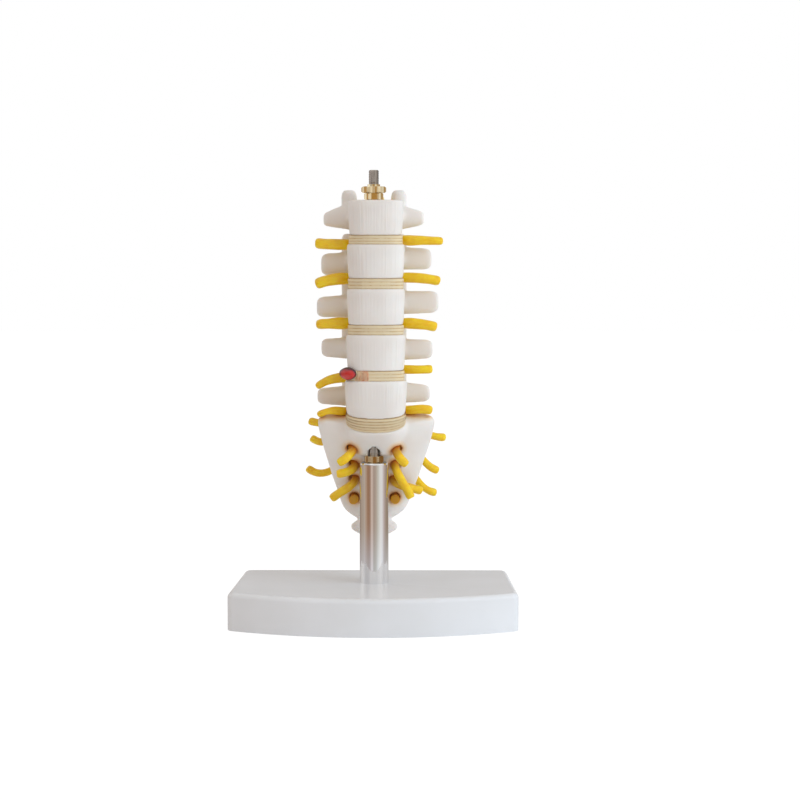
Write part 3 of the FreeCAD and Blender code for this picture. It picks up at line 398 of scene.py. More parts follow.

# %% [markdown]
# The burst core is painted by brush with red enamel, which dries glossy. Its dark edge is
# painted shade, darker where the core's surface turns away from the front. The fibres torn
# out of the disc beside it are bare, streaky vinyl.
# Their colour changes along the disc, so it is blended by the place across the stand.

# %% Red enamel
CORE, tree = new_material("red enamel")
# The dark end of this ramp is painted shade round the core's edge
edge = add(tree, ATTRIBUTE, {"attribute_name": "painted_shade_rim"}).outputs["Fac"]
height = grain(tree, 1.1)
end_material(tree, height, 0.18, 0.5, {
    "Base Color": add(tree, RAMP, inputs=(edge,), stops=[
        (0.0, "#CC2019"), (0.35, "#B21C22"), (0.7, "#6A1626"), (1.0, "#42101E")]),
    "Roughness": 0.24, "IOR": 1.5, "Subsurface Weight": 0.1,
    "Subsurface Radius": (1.0, 0.2, 0.15), "Subsurface Scale": 1.0 * MM,
    "Coat Weight": 0.3, "Coat Roughness": 0.08})
print(CORE.name, len(tree.nodes), "nodes")

# %% Torn fibres: creamy next to the core, and reddish further from it
FIBRE, tree = new_material("torn fibre vinyl")
along = grain(tree, 1.3, 2.0, 0.5, (1, 1, 0.35))
place = add(tree, "ShaderNodeTexCoord").outputs["Object"]
share = add(tree, "ShaderNodeMapRange", inputs={
    "Value": add(tree, "ShaderNodeSeparateXYZ", inputs=(place,)).outputs["X"],
    "From Min": -9.0 * MM, "From Max": -5.0 * MM})
creamy = add(tree, RAMP, inputs=(along,), stops=[(0.36, "#E6B98A"), (0.62, "#F6E3BE")])
reddish = add(tree, RAMP, inputs=(along,), stops=[(0.36, "#D98462"), (0.62, "#F0BE9A")])
height = grain(tree, 0.5)
end_material(tree, height, 0.1, 0.4, {
    "Base Color": add(tree, MIX, BLENDED, {
        "Factor": share, COLOUR_A: creamy, COLOUR_B: reddish}),
    "Roughness": 0.35, "IOR": 1.52, "Subsurface Weight": 0.3,
    "Subsurface Radius": (1.0, 0.4, 0.25), "Subsurface Scale": 1.0 * MM,
    "Coat Weight": 0.2, "Coat Roughness": 0.15})
print(FIBRE.name, len(tree.nodes), "nodes")

# %% [markdown]
# The metal parts need little colour and much care with roughness. Chrome plate is nearly
# a mirror. Turned brass shows fine rings from the lathe, and the rod is plain drawn steel
# with bright zinc on it. The base is moulded styrene, glossy, with the faint flow clouds
# that a large flat moulding always has.

# %% Metals
def metal(name, low, high, roughness, grain_mm, stretch, depth_mm, painted_reflection=None):
    """Bare metal with the fine grain of how its surface was made.

    The last argument is the colour of broad upright bands multiplied into the metal's colour:
    painted reflections, such as small bright parts show."""
    material, tree = new_material(name)
    marks = grain(tree, grain_mm, 3.0, 0.6, stretch)
    colour = add(tree, RAMP, inputs=(marks,), stops=[(0.3, low), (0.7, high)])
    if painted_reflection:
        # Painted reflection: broad upright dark bands multiplied into the metal's colour
        bands = add(tree, RAMP, inputs=(grain(tree, 2.4, 1.0, 0.5, (1, 1, 0.06)),), stops=[
            (0.4, painted_reflection), (0.5, "#E6E6E6"), (0.58, "#FFFFFF")])
        colour = add(tree, MIX, MULTIPLIED, {
            "Factor": 1.0, COLOUR_A: colour, COLOUR_B: bands})
    rough = add(tree, "ShaderNodeMapRange", inputs={
        "Value": marks, "To Min": roughness * 0.8, "To Max": roughness * 1.25})
    end_material(tree, marks, depth_mm, 0.3, {
        "Base Color": colour, "Roughness": rough, "Metallic": 1.0})
    return material


CHROME = metal("chrome plate", "#EAEAEB", "#EFEFF0", 0.06, 0.5, (1, 1, 0.02), 0.002)
BRASS = metal("turned brass", "#F3E0B4", "#FCEFCF", 0.16, 0.4, (0.1, 0.1, 3), 0.01, "#BC9A62")
STEEL = metal("drawn zinc steel", "#978C82", "#B0A69C", 0.14, 0.35, (1, 1, 0.1), 0.01, "#4E463E")
print([material.name for material in (CHROME, BRASS, STEEL)])

# %% White styrene of the base: flow clouds 25 mm across, and fine orange peel
BASE, tree = new_material("white moulded styrene")
clouds = add(tree, RAMP, inputs=(grain(tree, 25.0),), stops=[(0.3, "#E8EAED"), (0.7, "#EDEFF3")])
peel = grain(tree, 1.6, 2.0)
end_material(tree, peel, 0.02, 0.3, {
    "Base Color": clouds,
    "Roughness": 0.26, "IOR": 1.59, "Subsurface Weight": 0.05,
    "Subsurface Radius": (1.0, 0.9, 0.8), "Subsurface Scale": 1.0 * MM,
    "Coat Weight": 0.1, "Coat Roughness": 0.1})
print(BASE.name, len(tree.nodes), "nodes")

# %% [markdown]
# ## From solid to casting
#
# A solid model is made of forms that meet in sharp creases, but a vinyl casting has none:
# every bone flows into the next. Modelling that by hand would lose the sizes. Instead each
# solid's mesh is copied and sewn, given an even skin by a voxel remesh, and then "melted":
# every point moves towards the middle of its neighbours, fully where that is outwards, so
# creases fill up, and hardly at all where that is inwards, so the tips keep their reach.

# %% Sew and skin
def sewn_copy(name, node_name):
    """A copy of a solid node's mesh, its loose triangles sewn together."""
    form = bmesh.new()
    form.from_mesh(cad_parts[node_name].data)
    bmesh.ops.remove_doubles(form, verts=form.verts, dist=0.002 * MM)
    piece = new_piece(name)
    form.to_mesh(piece.data)
    form.free()
    return piece


def baked(piece):
    """Turns an object's modifiers into plain mesh and takes them off."""
    scene_graph = bpy.context.evaluated_depsgraph_get()
    mesh = bpy.data.meshes.new_from_object(piece.evaluated_get(scene_graph))
    old = piece.data
    piece.modifiers.clear()
    piece.data = mesh
    bpy.data.meshes.remove(old)
    return piece


def skinned(piece, voxel_mm):
    skin = piece.modifiers.new("skin", "REMESH")
    skin.mode = "VOXEL"
    skin.voxel_size = voxel_mm * MM
    skin.use_smooth_shade = True
    return baked(piece)


print("helpers for sewing and skinning ready")

# %% Melt
def points_of(mesh):
    points = np.empty(len(mesh.vertices) * 3)
    mesh.vertices.foreach_get("co", points)
    return points.reshape(-1, 3)


def normals_of(mesh):
    normals = np.empty(len(mesh.vertices) * 3)
    mesh.vertex_normals.foreach_get("vector", normals)
    return normals.reshape(-1, 3)


def put_points(mesh, points):
    mesh.vertices.foreach_set("co", points.ravel())
    mesh.update()


def push_out(mesh, heights):
    """Moves each point out along its normal by its own height."""
    put_points(mesh, points_of(mesh) + normals_of(mesh) * heights[:, None])


def melt(mesh, rounds, inward, hold=None):
    """Fills creases over a number of rounds. hold, 0 to 1 by point, keeps points still."""
    points = points_of(mesh)
    ends = np.empty(len(mesh.edges) * 2, dtype=np.int64)
    mesh.edges.foreach_get("vertices", ends)
    first, second = ends[0::2], ends[1::2]
    count = len(points)
    neighbours = np.bincount(first, minlength=count) + np.bincount(second, minlength=count)
    free = 1.0 if hold is None else (1.0 - hold)[:, None]
    for turn in range(rounds):
        if turn % 4 == 0:
            put_points(mesh, points)
            normals = normals_of(mesh)
        middle = np.empty_like(points)
        for axis in range(3):
            middle[:, axis] = (np.bincount(first, points[second, axis], count)
                               + np.bincount(second, points[first, axis], count))
        pull = middle / neighbours[:, None] - points
        outward = (pull * normals).sum(1)
        share = np.where(outward > 0, 1.0, inward)[:, None]
        points += 0.5 * pull * share * free
    put_points(mesh, points)


print("helpers for melting ready")

# %% [markdown]
# The next helper measures, for each point of a piece, how near it is to another set of
# pieces, and keeps the answer as a value on the points. A shader reads it by name.

# %% Nearness, kept as a value on the points
def tree_of(node_names):
    """A search tree over the points of solid nodes."""
    clouds = [points_of(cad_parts[node_name].data)[::3] for node_name in node_names]
    cloud = np.concatenate(clouds)
    tree = KDTree(len(cloud))
    for index, point in enumerate(cloud):
        tree.insert(point, index)
    tree.balance()
    return tree


def near_values(mesh, tree, reach_mm):
    """1 where a point touches the tree's pieces, falling to 0 at reach_mm."""
    points = points_of(mesh)
    gaps = np.array([tree.find(point)[2] for point in points])
    return np.clip(1 - gaps / (reach_mm * MM), 0, 1)


def keep_values(mesh, name, values):
    layer = mesh.attributes.new(name, "FLOAT", "POINT")
    layer.data.foreach_set("value", np.asarray(values, dtype=np.float32))


def put_on_stand(piece, material, node_name):
    """One material, the piece's place on the stand's only body, and the node it stands for."""
    piece.data.materials.clear()
    piece.data.materials.append(material)
    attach(piece, "root")
    if node_name:
        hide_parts(node_name)
    return piece


def finish_piece(piece, material, node_name=None):
    """A soft casting is shaded smooth all over."""
    piece.data.shade_smooth()
    return put_on_stand(piece, material, node_name)


print("helpers for nearness ready")

# %% Nerves and bones, by their nodes' names
NERVE_STARTS = ("nerve_", "sacral_nerve_", "rear_nerve_")
NERVE_NODES = [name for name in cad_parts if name.startswith(NERVE_STARTS)]
BRANCH_NODES = [name for name in NERVE_NODES if name != "nerve_sac"]
BONE_NODES = [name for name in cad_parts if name.startswith("vertebra_")] + ["sacrum"]
nerve_tree = tree_of(BRANCH_NODES)
bone_tree = tree_of(BONE_NODES)
print(len(NERVE_NODES), "nerves and", len(BONE_NODES), "bones")

# %% [markdown]
# ## Vertebrae
#
# Each vertebra is one casting: a drum-shaped body in front, an arch behind it, and
# processes to the sides and back. After melting, the drum's side gets its upright ridges.
# They are real relief about a millimetre apart and less than a tenth high, made from a
# few sine waves round the body, which fade out towards its rims.

# %% Ridges, and a melted bone
ROD_X, ROD_Y = 0.0, 5.0 * MM
SPINE_X = 0.9 * MM
BONE_VOXEL = 0.42
MELT_ROUNDS = 46
RIDGE_HEIGHT = 0.09 * MM
RIDGE_WAVES = [(31, 0.4), (43, 1.9), (57, 3.1), (71, 5.0)]
RIDGE_DRIFT, DRIFT_HEIGHT = 0.35, 6 * MM
# The ridges fade out over this share of the height, and past these places behind and aside
RIM_SHARE = 0.16
BACK_PLACE, BACK_FADE = 6.5 * MM, 3 * MM
SIDE_PLACE, SIDE_FADE = 16.5 * MM, 1.5 * MM
# Points this near the rod stay still, so that the bore keeps its size
HELD_RADIUS, HELD_FADE = 5.2 * MM, 1.5 * MM


def ridges(points, low, high):
    """Upright ridges on the drum: a height for each point, 0 at the rims and behind."""
    across = points[:, 0] - SPINE_X
    along = points[:, 1] - ROD_Y
    turn = np.arctan2(along, across)
    height = np.zeros(len(points))
    for waves, start in RIDGE_WAVES:
        drift = RIDGE_DRIFT * np.sin((points[:, 2] - low) / DRIFT_HEIGHT + start * 2)
        height += np.sin(waves * turn + start + drift)
    share = (points[:, 2] - low) / (high - low)
    rim = np.clip(np.minimum(share, 1 - share) / RIM_SHARE, 0, 1)
    front = np.clip((BACK_PLACE - along) / BACK_FADE, 0, 1)
    inside = np.clip((SIDE_PLACE - np.abs(across)) / SIDE_FADE, 0, 1)
    return height / len(RIDGE_WAVES) * rim * front * inside


def cast_bone(name, node_name, voxel_mm, rounds):
    """A bone's solid, skinned and melted."""
    piece = skinned(sewn_copy(name, node_name), voxel_mm)
    points = points_of(piece.data)
    from_rod = np.hypot(points[:, 0] - ROD_X, points[:, 1] - ROD_Y)
    hold = np.clip((HELD_RADIUS - from_rod) / HELD_FADE, 0, 1)
    melt(piece.data, rounds, inward=0.2, hold=hold)
    return piece


print(len(RIDGE_WAVES), "waves of ridges,", RIDGE_HEIGHT / MM, "mm high")

# %% Five vertebrae, each with the disc that it stands on
DISC_BELOW = {"l1": "l1_l2", "l2": "l2_l3", "l3": "l3_l4", "l4": "l4_l5", "l5": "l5_s1"}
BODY_HEIGHT = 17.2 * MM
# How far the painted orange light from the nerves reaches on a vertebra, in mm, and how strong it
# is
GLOW_REACH, GLOW_SHARE = 1.3, 0.35

for level, disc in DISC_BELOW.items():
    piece = cast_bone("bone_" + level, "vertebra_" + level, BONE_VOXEL, MELT_ROUNDS)
    mesh = piece.data
    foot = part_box("disc_" + disc)[1].z
    push_out(mesh, RIDGE_HEIGHT * ridges(points_of(mesh), foot, foot + BODY_HEIGHT))
    keep_values(mesh, "near_nerve", near_values(mesh, nerve_tree, GLOW_REACH) * GLOW_SHARE)
    finish_piece(piece, BONE, "vertebra_" + level)
    print(piece.name, len(mesh.polygons), "faces")

# %% [markdown]
# ## Sacrum
#
# The sacrum and coccyx are one casting too, a curved wedge with four pairs of nerve holes.
# It is thin vinyl, so light and the colour of the nerves show through round each hole. The
# soft vinyl closes on what is pushed through it, most of all on the lowest pair of nerves,
# so the skin swells a little where it is near them.

# %% Sacrum
SACRUM_VOXEL = 0.5
SACRUM_ROUNDS = 34
CLOSING_REACH = 2.2
# How far the painted light and shade round each nerve hole reaches, in mm
HOLE_GLOW_REACH = 3.4
LOWEST_PAIR = ["sacral_nerve_s4_left", "sacral_nerve_s4_right"]
FRONT_NERVES = [name for name in BRANCH_NODES if name.startswith("sacral_nerve_")]
OTHER_FRONT = [name for name in FRONT_NERVES if name not in LOWEST_PAIR]

sacrum = cast_bone("bone_sacrum", "sacrum", SACRUM_VOXEL, SACRUM_ROUNDS)
for names, swell_mm in ((LOWEST_PAIR, 0.7), (OTHER_FRONT, 0.4), (["tie_rod"], 0.6)):
    close = near_values(sacrum.data, tree_of(names), CLOSING_REACH)
    push_out(sacrum.data, swell_mm * MM * close)
# The nerves' orange light round each hole and the shade inside it are painted into the colour
keep_values(sacrum.data, "near_nerve", near_values(sacrum.data, nerve_tree, HOLE_GLOW_REACH))
finish_piece(sacrum, BONE, "sacrum")
print(sacrum.name, len(sacrum.data.polygons), "faces")

# %% [markdown]
# ## Discs
#
# A real disc is built of rings, like an onion, and the model shows them as layers round its
# rim. The layers follow a rule, so Geometry Nodes make them: a kidney-shaped outline is
# worked out from a circle, a small flat section is swept along it, and the ring is then
# repeated from the lower face to the upper one, leaning a little more each time where the
# disc is a wedge. Each ring is smaller by its own small chance amount.

# %% How a tree starts, ends and runs
def start_tree(name, sizes):
    """A tree with one shape going in, one coming out, and sizes by name."""
    tree = bpy.data.node_groups.new(name, "GeometryNodeTree")
    for way, label in (("INPUT", "Before"), ("OUTPUT", "After")):
        tree.interface.new_socket(name=label, in_out=way, socket_type="NodeSocketGeometry")
    for label, kind in sizes.items():
        tree.interface.new_socket(name=label, in_out="INPUT", socket_type="NodeSocket" + kind)
    return tree, add(tree, "NodeGroupInput").outputs


def end_tree(tree, parts, vinyl):
    """Joins the parts, makes them plain mesh and gives them their vinyl."""
    joined = add(tree, "GeometryNodeJoinGeometry")
    for part in parts:
        tree.links.new(part, joined.inputs[0])
    real = add(tree, "GeometryNodeRealizeInstances", inputs=(joined,))
    painted = add(tree, "GeometryNodeSetMaterial", inputs={"Geometry": real, "Material": vinyl})
    add(tree, "NodeGroupOutput", inputs=(painted,))
    return tree


def run_tree(piece, tree, values):
    """Runs a node tree on a piece with named input values, and bakes the result."""
    modifier = piece.modifiers.new("nodes", "NODES")
    modifier.node_group = tree
    for item in tree.interface.items_tree:
        if item.item_type == "SOCKET" and item.in_out == "INPUT" and item.name in values:
            modifier[item.identifier] = values[item.name]
    piece.data.update()
    return baked(piece)


print("tools for trees ready")

# %% A disc's kidney-shaped outline, with a hollow at its back
OUTLINE_POWER = 2 / 2.3
HOLLOW_SHARPNESS = 2.6


def kidney_outline(tree, given):
    """Moves the points of a circle of radius 1 on to a disc's kidney-shaped outline."""
    spot = add(tree, "ShaderNodeSeparateXYZ", inputs=(add(tree, "GeometryNodeInputPosition"),))
    shaped = []
    for axis in ("X", "Y"):
        side = spot.outputs[axis]
        size = add(tree, MATH, "POWER", (add(tree, MATH, "ABSOLUTE", (side,)), OUTLINE_POWER))
        shaped.append(add(tree, MATH, "MULTIPLY", (size, add(tree, MATH, "SIGN", (side,)))))
    middle = add(tree, MATH, "MULTIPLY", (shaped[0], HOLLOW_SHARPNESS))
    square = add(tree, MATH, "MULTIPLY", (middle, middle))
    dent = add(tree, MATH, "EXPONENT", (add(tree, MATH, "MULTIPLY", (square, -1.0)),))
    behind = add(tree, MATH, "GREATER_THAN", (spot.outputs["Y"], 0.0))
    dent = add(tree, MATH, "MULTIPLY", (dent, behind))
    dent = add(tree, MATH, "MULTIPLY", (dent, given["Hollow"]))
    deep = add(tree, MATH, "MULTIPLY", (shaped[1], given["Half depth"]))
    return add(tree, XYZ, inputs=(
        add(tree, MATH, "MULTIPLY", (shaped[0], given["Half width"])),
        add(tree, MATH, "SUBTRACT", (deep, dent))))


print("outline ready")

# %% The tree that lays rings round a disc
RING_POINTS = 128
SECTION_POINTS = 12
SECTION_SCALE = (0.2, 1.0, 1.0)


def ring_tree():
    """One ring, repeated from a disc's foot to its top, leaning a little more each time."""
    tree, given = start_tree("disc rings", {
        "Half width": "Float", "Half depth": "Float", "Hollow": "Float",
        "Ring thickness": "Float", "Foot": "Vector", "Top": "Vector", "Foot lean": "Float",
        "Top lean": "Float", "Rings": "Int", "Unevenness": "Float", "Seed": "Int",
        "Vinyl": "Material"})
    circle = add(tree, "GeometryNodeCurvePrimitiveCircle", {"mode": "RADIUS"}, {
        "Resolution": RING_POINTS, "Radius": 1.0})
    kidney = add(tree, "GeometryNodeSetPosition", inputs={
        "Geometry": circle, "Position": kidney_outline(tree, given)})
    round_section = add(tree, "GeometryNodeCurvePrimitiveCircle", {"mode": "RADIUS"}, {
        "Resolution": SECTION_POINTS, "Radius": given["Ring thickness"]})
    section = add(tree, "GeometryNodeTransform", inputs={
        "Geometry": round_section, "Scale": SECTION_SCALE})
    ring = add(tree, "GeometryNodeCurveToMesh", inputs={
        "Curve": kidney, "Profile Curve": section, "Fill Caps": False})

    line = add(tree, "GeometryNodeMeshLine", {"mode": "END_POINTS"}, {
        "Count": given["Rings"], "Start Location": given["Foot"], "Offset": given["Top"]})
    index = add(tree, "GeometryNodeInputIndex")
    steps = add(tree, MATH, "SUBTRACT", (given["Rings"], 1.0))
    share = add(tree, MATH, "DIVIDE", (index, steps))
    change = add(tree, MATH, "SUBTRACT", (given["Top lean"], given["Foot lean"]))
    lean = add(tree, MATH, "MULTIPLY_ADD", (share, change, given["Foot lean"]))
    turned = add(tree, "FunctionNodeEulerToRotation", inputs={
        "Euler": add(tree, XYZ, inputs=(lean,))})
    smallest = add(tree, MATH, "SUBTRACT", (1.0, given["Unevenness"]))
    chance = add(tree, "FunctionNodeRandomValue", {"data_type": "FLOAT"}, {
        2: smallest, 3: 1.0, "ID": index, "Seed": given["Seed"]})
    rings = add(tree, "GeometryNodeInstanceOnPoints", inputs={
        "Points": line, "Instance": ring, "Rotation": turned, "Scale": chance})
    return end_tree(tree, (given["Before"], rings.outputs[0]), given["Vinyl"])


RINGS = ring_tree()
print(RINGS.name, len(RINGS.nodes), "nodes")

# %% Four level discs
CORE_SHARE = 0.965
LAYER_HEIGHT = 1.5 * MM
RING_OVERLAP = 1.12
THINNEST = 0.3 * MM
# How far the nerves' painted orange light reaches on a disc, in mm
DISC_GLOW_REACH = 8.0


def shrunk(piece, share):
    """Draws a disc in towards its own upright axis, so that its rings stand proud."""
    points = points_of(piece.data)
    centre = (points.min(0) + points.max(0)) / 2
    points[:, :2] = centre[:2] + (points[:, :2] - centre[:2]) * share
    put_points(piece.data, points)


def layered_disc(name, foot, top, foot_lean, top_lean, half_width, half_depth, layers, seed):
    """foot and top are the middles of the two faces, and the leans are theirs."""
    node_name = "disc_" + name
    piece = skinned(sewn_copy("rings_" + name, node_name), voxel_mm=0.4)
    shrunk(piece, CORE_SHARE)
    thickness = (top - foot).length / layers / 2
    step = (top - foot) / layers / 2
    lean_step = (top_lean - foot_lean) / layers / 2
    run_tree(piece, RINGS, {
        "Half width": half_width - thickness * SECTION_SCALE[0],
        "Half depth": half_depth - thickness * SECTION_SCALE[0],
        "Hollow": (0.6 + 0.06 * half_depth / MM) * MM, "Ring thickness": thickness * RING_OVERLAP,
        "Foot": tuple(foot + step), "Top": tuple(top - step), "Foot lean": foot_lean + lean_step,
        "Top lean": top_lean - lean_step, "Rings": layers, "Unevenness": 0.02, "Seed": seed,
        "Vinyl": DISC})
    mesh = piece.data
    points = points_of(mesh)
    # How far up between its two faces each point lies, whichever way the faces lean
    back = points[:, 1] - foot.y
    floor_height = foot.z + back * math.tan(foot_lean)
    roof_height = top.z + back * math.tan(top_lean)
    spot = (points[:, 2] - floor_height) / np.maximum(roof_height - floor_height, THINNEST)
    keep_values(mesh, "layer_side", 1 - np.abs((spot * layers) % 1.0 * 2 - 1))
    keep_values(mesh, "near_nerve", near_values(mesh, nerve_tree, DISC_GLOW_REACH))
    return finish_piece(piece, DISC, node_name)


for seed, name in enumerate(("l1_l2", "l2_l3", "l3_l4", "l4_l5")):
    low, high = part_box("disc_" + name)
    foot = Vector((SPINE_X, ROD_Y, low.z))
    top = Vector((SPINE_X, ROD_Y, high.z))
    layers = round((high.z - low.z) / LAYER_HEIGHT)
    piece = layered_disc(name, foot, top, 0.0, 0.0, (high.x - low.x) / 2, (high.y - low.y) / 2,
                         layers, seed + 3)
    print(piece.name, layers, "layers,", len(piece.data.polygons), "faces")

# %% [markdown]
# The last disc is a wedge between the sloping foot of L5 and the steeper slope of the
# sacrum, so its rings fan out: the lowest leans as the sacrum does, the highest as L5 does.

# %% The wedge disc
WEDGE_LEAN = math.radians(34)
WEDGE_TOP_LEAN = math.radians(17)
WEDGE_FOOT = Vector((0.9, 4.87, 95.97)) * MM
WEDGE_TOP = Vector((0.9, 5.0, 100.21)) * MM
WEDGE_LAYERS = 5
# What the wedge is wide and deep in the solid, halved, in mm
WEDGE_WIDE, WEDGE_DEEP = 15.0, 9.2

low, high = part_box("disc_l5_s1")
half_width = (high.x - low.x) / 2
piece = layered_disc("l5_s1", WEDGE_FOOT, WEDGE_TOP, WEDGE_LEAN, WEDGE_TOP_LEAN, half_width,
                     half_width * WEDGE_DEEP / WEDGE_WIDE, WEDGE_LAYERS, seed=8)
print(piece.name, len(piece.data.polygons), "faces")

# %% [markdown]
# ## Nerves
#
# The nerves are separate soft castings, pushed into holes between and through the bones.
# Each is skinned finely and melted only a little, so that its cut end keeps its square
# look. A slow swell along each one keeps it from looking like drawn pipe, and the value
# near_bone paints shade and a deep orange light into the yellow where it sits deep in a
# hole. The lowest pair in front are only stubs, so they are drawn back along their own
# slope, and their ends get that painted shade too.

# %% Nerve branches
NERVE_VOXEL = 0.26
NERVE_SWELL = 0.14 * MM
# How far from the bone the painted shade and orange light on a nerve reach, in mm, and how they
# fall off
SACRAL_DARKENING = (5.8, 0.75)
OTHER_DARKENING = (2.6, 1.5)
STUB_LENGTH = 5.0 * MM
STUB_SHARE = 0.1
STUB_SLOPE = 0.31
STUB_DARKNESS = 0.55


def lumps(points, size_mm, seed):
    """Slow waves in four chance directions, between -1 and 1."""
    waves = np.zeros(len(points))
    chance = np.random.default_rng(seed)
    for _ in range(4):
        way = chance.normal(size=3)
        way /= np.linalg.norm(way)
        waves += np.sin(points @ way * math.tau / (size_mm * MM) + chance.uniform(0, math.tau))
    return waves / 4


for seed, node_name in enumerate(BRANCH_NODES):
    piece = skinned(sewn_copy("soft_" + node_name, node_name), NERVE_VOXEL)
    mesh = piece.data
    melt(mesh, rounds=8, inward=0.5)
    push_out(mesh, NERVE_SWELL * lumps(points_of(mesh), size_mm=7.0, seed=seed))
    reach, power = SACRAL_DARKENING if node_name in FRONT_NERVES else OTHER_DARKENING
    # Painted shade and orange light where the nerve sits deep in a hole
    depth = near_values(mesh, bone_tree, reach) ** power
    if node_name in LOWEST_PAIR:
        points = points_of(mesh)
        stub_end = points[:, 1].min() + STUB_LENGTH
        beyond = np.minimum(points[:, 1] - stub_end, 0) * (1 - STUB_SHARE)
        put_points(mesh, points - beyond[:, None] * np.array((0, 1, STUB_SLOPE)))
        # The stubs' ends get painted shade as well
        depth = np.maximum(depth, STUB_DARKNESS)
    keep_values(mesh, "near_bone", depth)
    finish_piece(piece, NERVE, node_name)
print(len(BRANCH_NODES), "branches, the last with", len(mesh.polygons), "faces")

# %% [markdown]
# The sac is cut off level above the first vertebra, and there it shows what it holds: a
# bundle of fine rootlets. Geometry Nodes place them in a sunflower pattern, which packs
# round strands evenly into an oval, and give each its own small chance height.

# %% The tree that sets rootlets in an oval
SUNFLOWER_TURN = 2.39996


def oval_spot(tree, given, turn, away):
    """The place at an angle round an oval, a share of the way out from its middle."""
    sides = []
    for wave, size in (("COSINE", "Half width"), ("SINE", "Half depth")):
        share = add(tree, MATH, "MULTIPLY", (add(tree, MATH, wave, (turn,)), away))
        sides.append(add(tree, MATH, "MULTIPLY", (share, given[size])))
    spot = add(tree, XYZ, inputs=tuple(sides))
    return add(tree, "ShaderNodeVectorMath", "ADD", (spot, given["Middle"]))


def rootlet_tree():
    tree, given = start_tree("rootlets", {
        "Middle": "Vector", "Half width": "Float", "Half depth": "Float", "Strands": "Int",
        "Strand radius": "Float", "Length": "Float", "Seed": "Int", "Vinyl": "Material"})
    index = add(tree, "GeometryNodeInputIndex")
    place = add(tree, MATH, "ADD", (index, 0.5))
    away = add(tree, MATH, "SQRT", (add(tree, MATH, "DIVIDE", (place, given["Strands"])),))
    turn = add(tree, MATH, "MULTIPLY", (index, SUNFLOWER_TURN))
    points = add(tree, "GeometryNodePoints", inputs={
        "Count": given["Strands"], "Position": oval_spot(tree, given, turn, away)})
    strand = add(tree, "GeometryNodeMeshUVSphere", inputs={
        "Segments": 14, "Rings": 8, "Radius": 1.0})
    height = add(tree, "FunctionNodeRandomValue", {"data_type": "FLOAT"}, {
        2: 0.75, 3: 1.0, "ID": index, "Seed": given["Seed"]})
    size = add(tree, XYZ, inputs=(
        given["Strand radius"], given["Strand radius"],
        add(tree, MATH, "MULTIPLY", (given["Length"], height))))
    strands = add(tree, "GeometryNodeInstanceOnPoints", inputs={
        "Points": points, "Instance": strand, "Scale": size})
    return end_tree(tree, (given["Before"], strands.outputs[0]), given["Vinyl"])


ROOTLETS = rootlet_tree()
print(ROOTLETS.name, len(ROOTLETS.nodes), "nodes")

# %% Nerve sac
SAC_Y = 16.0 * MM

sac = skinned(sewn_copy("soft_sac", "nerve_sac"), voxel_mm=0.34)
melt(sac.data, rounds=10, inward=0.5)
low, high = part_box("nerve_sac")
mouth = Vector((SPINE_X, SAC_Y, high.z - 0.6 * MM))
run_tree(sac, ROOTLETS, {
    "Middle": tuple(mouth), "Half width": 3.1 * MM, "Half depth": 2.3 * MM, "Strands": 30,
    "Strand radius": 0.46 * MM, "Length": 1.9 * MM, "Seed": 4, "Vinyl": NERVE})
# Painted shade where the sac lies close to the bone
keep_values(sac.data, "near_bone", near_values(sac.data, bone_tree, reach_mm=1.6) * 0.6)
finish_piece(sac, NERVE, "nerve_sac")
print(sac.name, len(sac.data.polygons), "faces")

# %% [markdown]
# ## The torn disc
#
# Between L4 and L5 the disc has burst. Its soft core bulges out at the front left, painted
# red by hand, and the rings beside it have frayed into upright fibres. The core's dark edge
# is painted shade, a value on its points that grows where the core's surface turns away
# from the front, and over the last of its left tip.

# %% The burst core
CORE_FRONT = (-0.25, -0.97, 0.0)
EDGE_BEGINS, EDGE_RISE, EDGE_WIDTH = 0.84, 0.2, 0.5
TIP_WIDTH = 1.5 * MM
CORE_SWELL = 0.16 * MM

core = skinned(sewn_copy("burst_core", "herniated_core"), voxel_mm=0.2)
mesh = core.data
melt(mesh, rounds=12, inward=0.5)
push_out(mesh, CORE_SWELL * lumps(points_of(mesh), size_mm=3.2, seed=2))
low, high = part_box("herniated_core")
normals = normals_of(mesh)
facing = normals @ np.array(CORE_FRONT)
# Painted shade: darker where the surface turns away from the front, and over the left tip
edge = np.clip((EDGE_BEGINS + EDGE_RISE * normals[:, 2] - facing) / EDGE_WIDTH, 0, 1)
tip = np.clip((low.x + TIP_WIDTH - points_of(mesh)[:, 0]) / TIP_WIDTH, 0, 1)
keep_values(mesh, "painted_shade_rim", np.maximum(edge, tip))
finish_piece(core, CORE, "herniated_core")
print(core.name, len(mesh.polygons), "faces")

